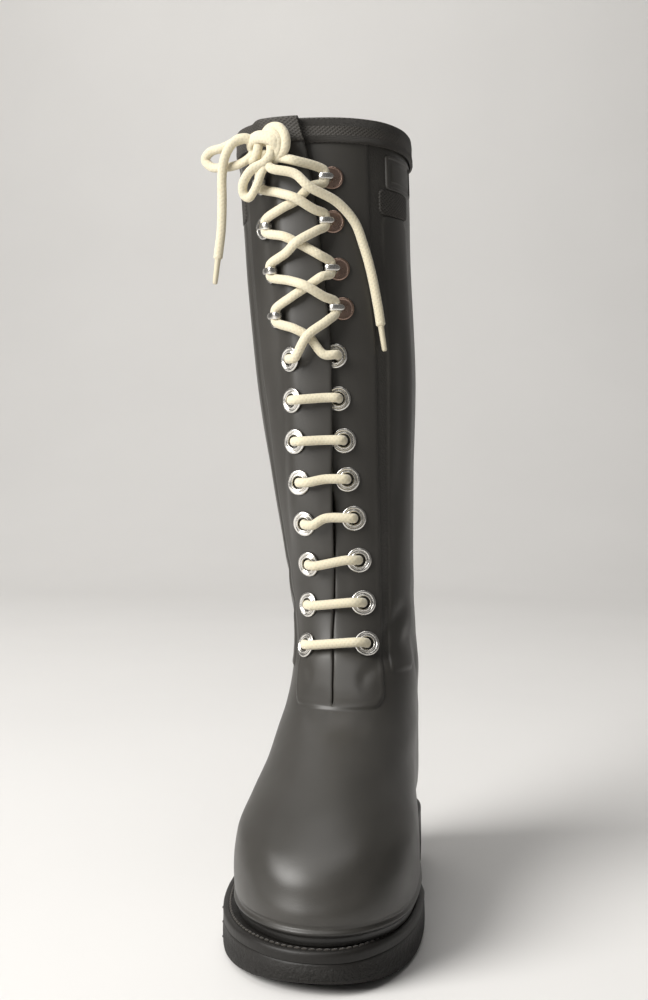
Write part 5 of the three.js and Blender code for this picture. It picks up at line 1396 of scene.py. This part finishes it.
class BOOT_OT_plates(bpy.types.Operator):
    """Make the bare badge plates and the woven patches on both sides of the shaft"""
    bl_idname = "boot.plates"
    bl_label = "Plates"

    def execute(self, context):
        rows = [("badge", 3, 41, BADGE_BOTTOM_Z, BADGE_TOP_Z, "plate"),
                ("patch", -3, 29, PATCH_BOTTOM_Z, PATCH_TOP_Z, "patch")]
        for kind, start, end, low, high, look in rows:
            for side, line, way in (("outer", STRIP_OUTER, -1), ("inner", STRIP_INNER, 1)):
                width, height = end - start, high - low
                u, v = np.linspace(0, width, 96), np.linspace(0, height, 60)
                z = low + v
                arcs = way * (start + u)[None, :] + 0 * z[:, None]
                angle = angle_at_arc(z, line_angle(line, z), arcs)
                zz = np.repeat(z[:, None], len(u), 1)
                uu, vv = np.meshgrid(u, v)
                inside, relief = plate_relief(kind, uu, vv, width, height)
                base = 0.0 if kind == "badge" else 0.1
                top = lifted(angle, zz, base + np.where(inside > 0, relief, -0.5))
                under = lifted(angle, zz, base - 0.9)
                count = top.shape[0] * top.shape[1]
                a = np.arange(count).reshape(top.shape[:2])
                b = a + count
                faces = [grid_faces(a), grid_faces(b)[:, ::-1]]
                edges = [[grid[0], grid[-1][::-1], grid[:, 0][::-1], grid[:, -1]] for grid in (b, a)]
                faces += [grid_faces(np.stack(pair)) for pair in zip(*edges)]
                uv = np.stack([np.concatenate([uu, uu]), np.concatenate([vv, vv])], -1).reshape(-1, 2) / 10
                verts = np.vstack([top.reshape(-1, 3), under.reshape(-1, 3)])
                piece = make_mesh(f"{kind}_plate_{side}", verts, faces, uv)
                dress(piece, [look], "upper_rubber", f"{kind}_{side}")
        return {"FINISHED"}


def revolve(profile, sides, f):
    """Ring or dome: a closed profile of radius and height turned round the fitting's out direction."""
    r, h = np.array(profile).T
    a = np.arange(sides) / sides * TURN
    points = in_frame(f, r[:, None] * np.cos(a), r[:, None] * np.sin(a), h[:, None] + 0 * a)
    return points.reshape(-1, 3), np.arange(len(profile) * sides).reshape(-1, sides)


class BOOT_OT_eyelets(bpy.types.Operator):
    """Make the rolled two-ring eyelets"""
    bl_idname = "boot.eyelets"
    bl_label = "Eyelets"

    def execute(self, context):
        sides = context.scene.boot_sizes.fitting_sides
        bottom = -WALL - PANEL_STEP + CLEAR
        roll = [(4.35 - 0.62 * math.cos(a), 1.0 + 0.55 * math.sin(a)) for a in np.linspace(0, math.pi, 9)]
        skirt = [(5.06, 0.72), (5.22, 0.6), (5.42, 0.74), (5.8, 1.0), (6.3, 1.06), (6.75, 0.93), (7.08, 0.62),
                 (7.2, 0.3), (7.12, 0.12), (6.9, 0.1)]
        back = [(5.0, 0.12), (4.4, 0.05), (4.35, bottom), (5.4, bottom - 0.2), (5.5, bottom - 0.55),
                (4.9, bottom - 0.8), (3.8, bottom - 0.55), (3.7, bottom)]
        for name, f in FITTINGS.items():
            if not name.startswith("eyelet"):
                continue
            points, index = revolve(roll + skirt + back, sides, f)
            piece = make_mesh(f"{name}_ring", points, [grid_faces(index, True, True)])
            sharpen(piece, 60)
            dress(piece, ["nickel"], "nickel", name)
        return {"FINISHED"}


STRIP_POINTS, STRIP_SIDES = 60, 16


class BOOT_OT_hooks(bpy.types.Operator):
    """Make the speed hooks: a dished disc with a rolled rim, and a strip curled back over the lace"""
    bl_idname = "boot.hooks"
    bl_label = "Hooks"

    def execute(self, context):
        sides = context.scene.boot_sizes.fitting_sides
        dome = [(0.01, 1.3), (1.6, 1.28), (3.2, 1.2), (4.6, 1.08), (5.1, 1.04), (5.45, 1.16), (5.9, 1.26), (6.3, 1.1),
                (6.6, 0.7), (6.5, 0.25), (6.2, 0.14), (4, 0.14), (0.01, 0.14)]
        top = HOOK_LOW + LACE_DIAMETER + 2 * CLEAR
        beyond = LACE_RADIUS + CLEAR + 0.5 * HOOK_DISC
        strips = {way: self.strip(seat + beyond, top) for way, seat in HOOK_SEATS.items()}
        for name, f in FITTINGS.items():
            if not name.startswith("hook"):
                continue
            way = f["way"]
            disc, index = revolve(dome, sides, f)
            local = strips[way]
            strip = in_frame(f, way * local[..., 0], local[..., 1], local[..., 2]).reshape(-1, 3)
            count = len(disc)
            s = np.arange(len(strip)).reshape(STRIP_POINTS, STRIP_SIDES)
            s = (s[:, ::-1] if way < 0 else s) + count
            faces = [grid_faces(index, wrap_cols=True), index[:1, ::-1], index[-1:],
                     grid_faces(s, wrap_cols=True)[:, ::-1], s[:1], s[-1:, ::-1]]
            on_strip = np.repeat([0, 1], [sum(len(f) for f in faces[:3]), sum(len(f) for f in faces[3:])])
            piece = make_mesh(f"{name}_plate", np.vstack([disc, strip]), faces, face_material=on_strip)
            sharpen(piece, 55)
            dress(piece, ["nickel" if way > 0 else "warm", "nickel"], "nickel", name)
        return {"FINISHED"}

    def strip(self, reach, top):
        """Curled strip: a rounded bar section carried up the neck and back over the lace to a round tip."""
        middle = [(0.6, 1.05), (2.6, 1.05), (4.4, 0.95), (0.5 * (reach + 4.4), 1.0), (reach - 0.35, 1.55),
                  (reach + 0.1, 2.6), (reach + 0.15, 4.0), (reach, 5.2), (reach - 0.8, 6.1), (reach - 2.2, 6.55),
                  (0.5 * reach - 0.4, top - 0.12), (1.8, top - 0.42), (0.2, top - 0.95), (-0.9, top - 1.35)]
        path = smooth_path([(x, 0, y) for x, y in middle], STRIP_POINTS)
        tangent = unit(np.gradient(path, axis=0))
        across = np.array([0, 1.0, 0])
        normal = np.cross(tangent, across)
        share = np.linspace(0, 1, STRIP_POINTS)
        half = HOOK_WIDTH / 2 * np.sqrt(clamp01(1 - clamp01((share - 0.88) / 0.12) ** 2.2) + 0.0004)
        half = half * (1 + 0.12 * smooth((0.4 - share) / 0.3) - 0.16 * smooth((share - 0.5) / 0.3))
        a = np.arange(STRIP_SIDES) / STRIP_SIDES * TURN
        ca, sa = np.cos(a), np.sin(a)
        ex, ey = np.sign(ca) * np.abs(ca) ** 0.5, np.sign(sa) * np.abs(sa) ** 0.5
        thick = 0.38 * ey + 0.24 * ex ** 4
        return path[:, None] + across * (half[:, None] * ex)[..., None] + normal[:, None] * thick[:, None]


def plain_end(f):
    way = f["way"]
    over = LACE_START + LACE_RADIUS + 0.1
    reach = way * np.array([-0.2, 0.3, 0.9 * LACE_RADIUS, 1.9 * LACE_RADIUS, EYELET_RADIUS + 0.7])
    return in_frame(f, reach, np.zeros(5), np.array([-0.6, 1.2, over - 0.9, over, over - 0.1]))


def lapped_end(f):
    lift = lap_lift(np.array([f["z"]]), np.array([-SLIT_GAP]))[0]
    past = max(0, LACE_RADIUS + 3 * CLEAR - f["arc"])
    rows = np.array([(past, -0.4), (past, 0.8 * LACE_RADIUS + LACE_START),
                     (past - 0.45 * LACE_RADIUS, lift + 0.8 * LACE_RADIUS)])
    return np.vstack([in_frame(f, rows[:, 0], np.zeros(3), rows[:, 1]), spot(f["z"], 3 * LAP_SIDE, LACE_SEAT - 0.3)])


def eyelet_end(f):
    lapped = f["way"] < 0 and lap_lift(np.array([f["z"]]), np.array([-SLIT_GAP]))[0] > WALL
    return lapped_end(f) if lapped else plain_end(f)


def through_hook(f):
    height = HOOK_LOW + CLEAR + LACE_RADIUS + 0.1
    rise = HOOK_RISE * np.array([-1, 0, 1])
    return in_frame(f, np.full(3, f["way"] * HOOK_SEATS[f["way"]]), rise, np.full(3, height))


def crossing_routes():
    """The two strands through the hooks: the upper one lies over the lower at each crossing."""
    g = FITTINGS
    rows = [("eyelet_outer_8", "hook_outer_1", 0.473373, -11), ("hook_outer_1", "hook_outer_2", 0.581395, -9.5),
            ("hook_outer_2", "hook_outer_3", 0.542636, -11), ("hook_outer_3", "hook_outer_4", 0.503876, -9)]
    crossings = [(mix(g[low]["z"], g[high]["z"], share), arc) for low, high, share, arc in rows]

    def cross(k, height):
        return spot(crossings[k][0], crossings[k][1], height)

    def near(k, hook):
        """Beside the lap's edge on the way to an inner hook, or down its slope to an outer one."""
        share, arc, lift = (0.5, LAP_SIDE, 0.3) if "inner" in hook else (0.36, -FLAP_OVERLAP - 0.5, 0.5)
        return spot(mix(crossings[k][0], g[hook]["z"], share), arc, LACE_SEAT + lift)

    def strand(eyelet, hooks, height, end):
        """Route from a top eyelet through the hooks in turn, at a height over the panel where it crosses."""
        route = [eyelet_end(g[eyelet])]
        for k, hook in enumerate(hooks):
            route += [cross(k, height), near(k, hook), through_hook(g[hook])]
            if k + 1 < len(hooks):
                route.append(near(k + 1, hook))
        return np.vstack([*route, from_knot(end)])

    return (strand("eyelet_outer_8", ("hook_inner_1", "hook_outer_2", "hook_inner_3", "hook_outer_4"), LACE_OVER,
                   [(0.5, -15, -2.2), (1.5, -8, -1)]),
            strand("eyelet_inner_8", ("hook_outer_1", "hook_inner_2", "hook_outer_3", "hook_inner_4"),
                   LACE_SEAT - 0.3, [(20, -14.6, -2.8), (13.5, -12.8, -2.2), (8.5, -11.5, -1.2)]))


class BOOT_OT_lace(bpy.types.Operator):
    """Make the seven straight bars, the crossed strands through the hooks and the knot"""
    bl_idname = "boot.lace"
    bl_label = "Lace"

    def execute(self, context):
        size = lace_size()
        for k in range(1, 8):
            left, right = FITTINGS[f"eyelet_outer_{k}"], FITTINGS[f"eyelet_inner_{k}"]
            route = np.vstack([eyelet_end(left), eyelet_end(right)[::-1]])
            make_tubes(f"lace_bar_{k}_cotton", [dict(path=smooth_path(route, 46), **size)],
                       ["cotton"], "cotton", f"lace_bar_{k}")
        strands = [dict(path=smooth_path(route, 330), **size) for route in crossing_routes()]
        make_tubes("lace_strands_cotton", strands, ["cotton"], "cotton", "lace_crossings")
        self.knot(size)
        return {"FINISHED"}

    def knot(self, size):
        """Knot: a broad wrap over a looped lobe and the two strands that leave under it."""
        wrap = [(-4.9, -7.9, -3.5), (-7.8, -5, -2), (-6.5, -2.1, 0.5), (-1.2, -0.3, 3), (5.6, -1.1, 4),
                (11, -3.3, 3.4), (12.6, -6.6, 1), (10.2, -9.3, -2), (4.6, -9.7, -3.5)]
        lobe = [(2.5, -3.7, -2.5), (2.2, 1.8, -1), (7, 4.7, 0.6), (13.4, 3.9, 1.2), (17.4, -1.2, 1), (17, -7.2, 0.2),
                (13.2, -11, -1), (7.8, -12.8, -2), (2, -10.7, -3)]
        inner = [(0.6, -2.1, 0), (4.1, 2.2, 0.8), (9.6, 1.2, 2.4), (13.4, -3, 2), (13, -8, 0.8), (9.8, -11.2, -0.5),
                 (5.2, -13.1, -1.5)]
        left = [(0.2, -0.9, 0), (-0.6, -5.2, 1.6), (-1.4, -9, 2), (-3.6, -12, 0.8), (-7.5, -12.2, 0)]
        right = [(6, -2.2, 0), (8.3, -6.6, 1.8), (8.3, -10.4, 2.3), (6, -13.8, 2.4)]
        tubes = [dict(path=smooth_path(from_knot(p), 12 * len(p)), **size) for p in (lobe, inner, left, right)]
        broad = dict(half_width=size["half_width"] * WRAP_WIDTH, half_thick=size["half_thick"] * WRAP_THICK)
        tubes.append(dict(path=smooth_path(from_knot(wrap), 90), **broad))
        make_tubes("knot_cotton", tubes, ["cotton"], "cotton", "knot")


class BOOT_OT_stage(bpy.types.Operator):
    """Make the pale floor with its swept backdrop and the soft studio lights"""
    bl_idname = "boot.stage"
    bl_label = "Stage"

    def execute(self, context):
        x = np.linspace(-6000, 6000, 30)
        level, sweep = 1800, 1600
        a = np.linspace(0, 1, 60)[1:] * math.pi / 2
        run = np.concatenate([np.linspace(-4000, level, 20), level + sweep * np.sin(a), np.full(8, level + sweep)])
        rise = np.concatenate([np.zeros(20), sweep * (1 - np.cos(a)), np.linspace(1800, 5000, 8)])
        points = np.stack(np.broadcast_arrays(x[None, :], run[:, None], rise[:, None]), -1)
        index = np.arange(points.shape[0] * points.shape[1]).reshape(points.shape[:2])
        floor = make_mesh("Floor", points.reshape(-1, 3), [grid_faces(index)], outward=False)
        color = context.scene.boot_colours.floor
        m, tree, shader = new_material("Floor paint", color, 0.55, specular=0.3)
        tint = ramp(tree, object_noise(tree, 3, 3), [(0.3, shade(color, 0.985)), (0.7, shade(color, 1.01))])
        feed(tree, shader, Base_Color=tint)
        floor.data.materials.append(m)
        world = bpy.data.worlds.new("Studio")
        world.use_nodes = True
        sky = world.node_tree.nodes["Background"]
        sky.inputs["Color"].default_value = (1.0, 0.985, 0.965, 1)
        sky.inputs["Strength"].default_value = 0.13
        context.scene.world = world
        context.scene.view_settings.view_transform = "Standard"
        self.light(context, "Key", (-1700, -1500, 1600), 1900, 105, (1.0, 0.985, 0.96))
        self.light(context, "Back", (-900, 1400, 2400), 2000, 19, (1.0, 0.98, 0.95), (0, 3300, 700))
        self.light(context, "Top", (-300, -500, 2600), 2000, 20, (1.0, 0.99, 0.98))
        return {"FINISHED"}

    def light(self, context, name, place, size, power, color, target=(0, -60, 200)):
        lamp = bpy.data.lights.new(name, "AREA")
        lamp.shape = "DISK"
        lamp.size = size * MM
        lamp.energy = power
        lamp.color = color
        holder = bpy.data.objects.new(name, lamp)
        context.scene.collection.objects.link(holder)
        holder.location = Vector(place) * MM
        aim = Vector(target) * MM - holder.location
        holder.rotation_euler = aim.to_track_quat("-Z", "Y").to_euler()


class BOOT_PT_panel(bpy.types.Panel):
    """Lists the boot's sizes, colours and pieces"""
    bl_idname = "BOOT_PT_panel"
    bl_label = "Laced rubber boot"
    bl_space_type = "VIEW_3D"
    bl_region_type = "UI"
    bl_category = "Boot"

    def draw(self, context):
        for group in (context.scene.boot_sizes, context.scene.boot_colours):
            box = self.layout.box()
            for key in group.__annotations__:
                box.prop(group, key)
        for operator in OPERATORS:
            self.layout.operator(operator.bl_idname)


OPERATORS = [BOOT_OT_camera, BOOT_OT_cords, BOOT_OT_upper, BOOT_OT_binding, BOOT_OT_sole, BOOT_OT_inside,
             BOOT_OT_plates, BOOT_OT_eyelets, BOOT_OT_hooks, BOOT_OT_lace, BOOT_OT_stage]
CLASSES = [BootSizes, BootColours, *OPERATORS, BOOT_PT_panel]


def register():
    for cls in CLASSES:
        bpy.utils.register_class(cls)
    bpy.types.Scene.boot_sizes = PointerProperty(type=BootSizes)
    bpy.types.Scene.boot_colours = PointerProperty(type=BootColours)


def unregister():
    del bpy.types.Scene.boot_sizes
    del bpy.types.Scene.boot_colours
    for cls in reversed(CLASSES):
        bpy.utils.unregister_class(cls)


def main():
    register()
    for operator in OPERATORS:
        getattr(bpy.ops.boot, operator.bl_idname.removeprefix("boot."))()

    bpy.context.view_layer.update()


if __name__ == "__main__":
    main()
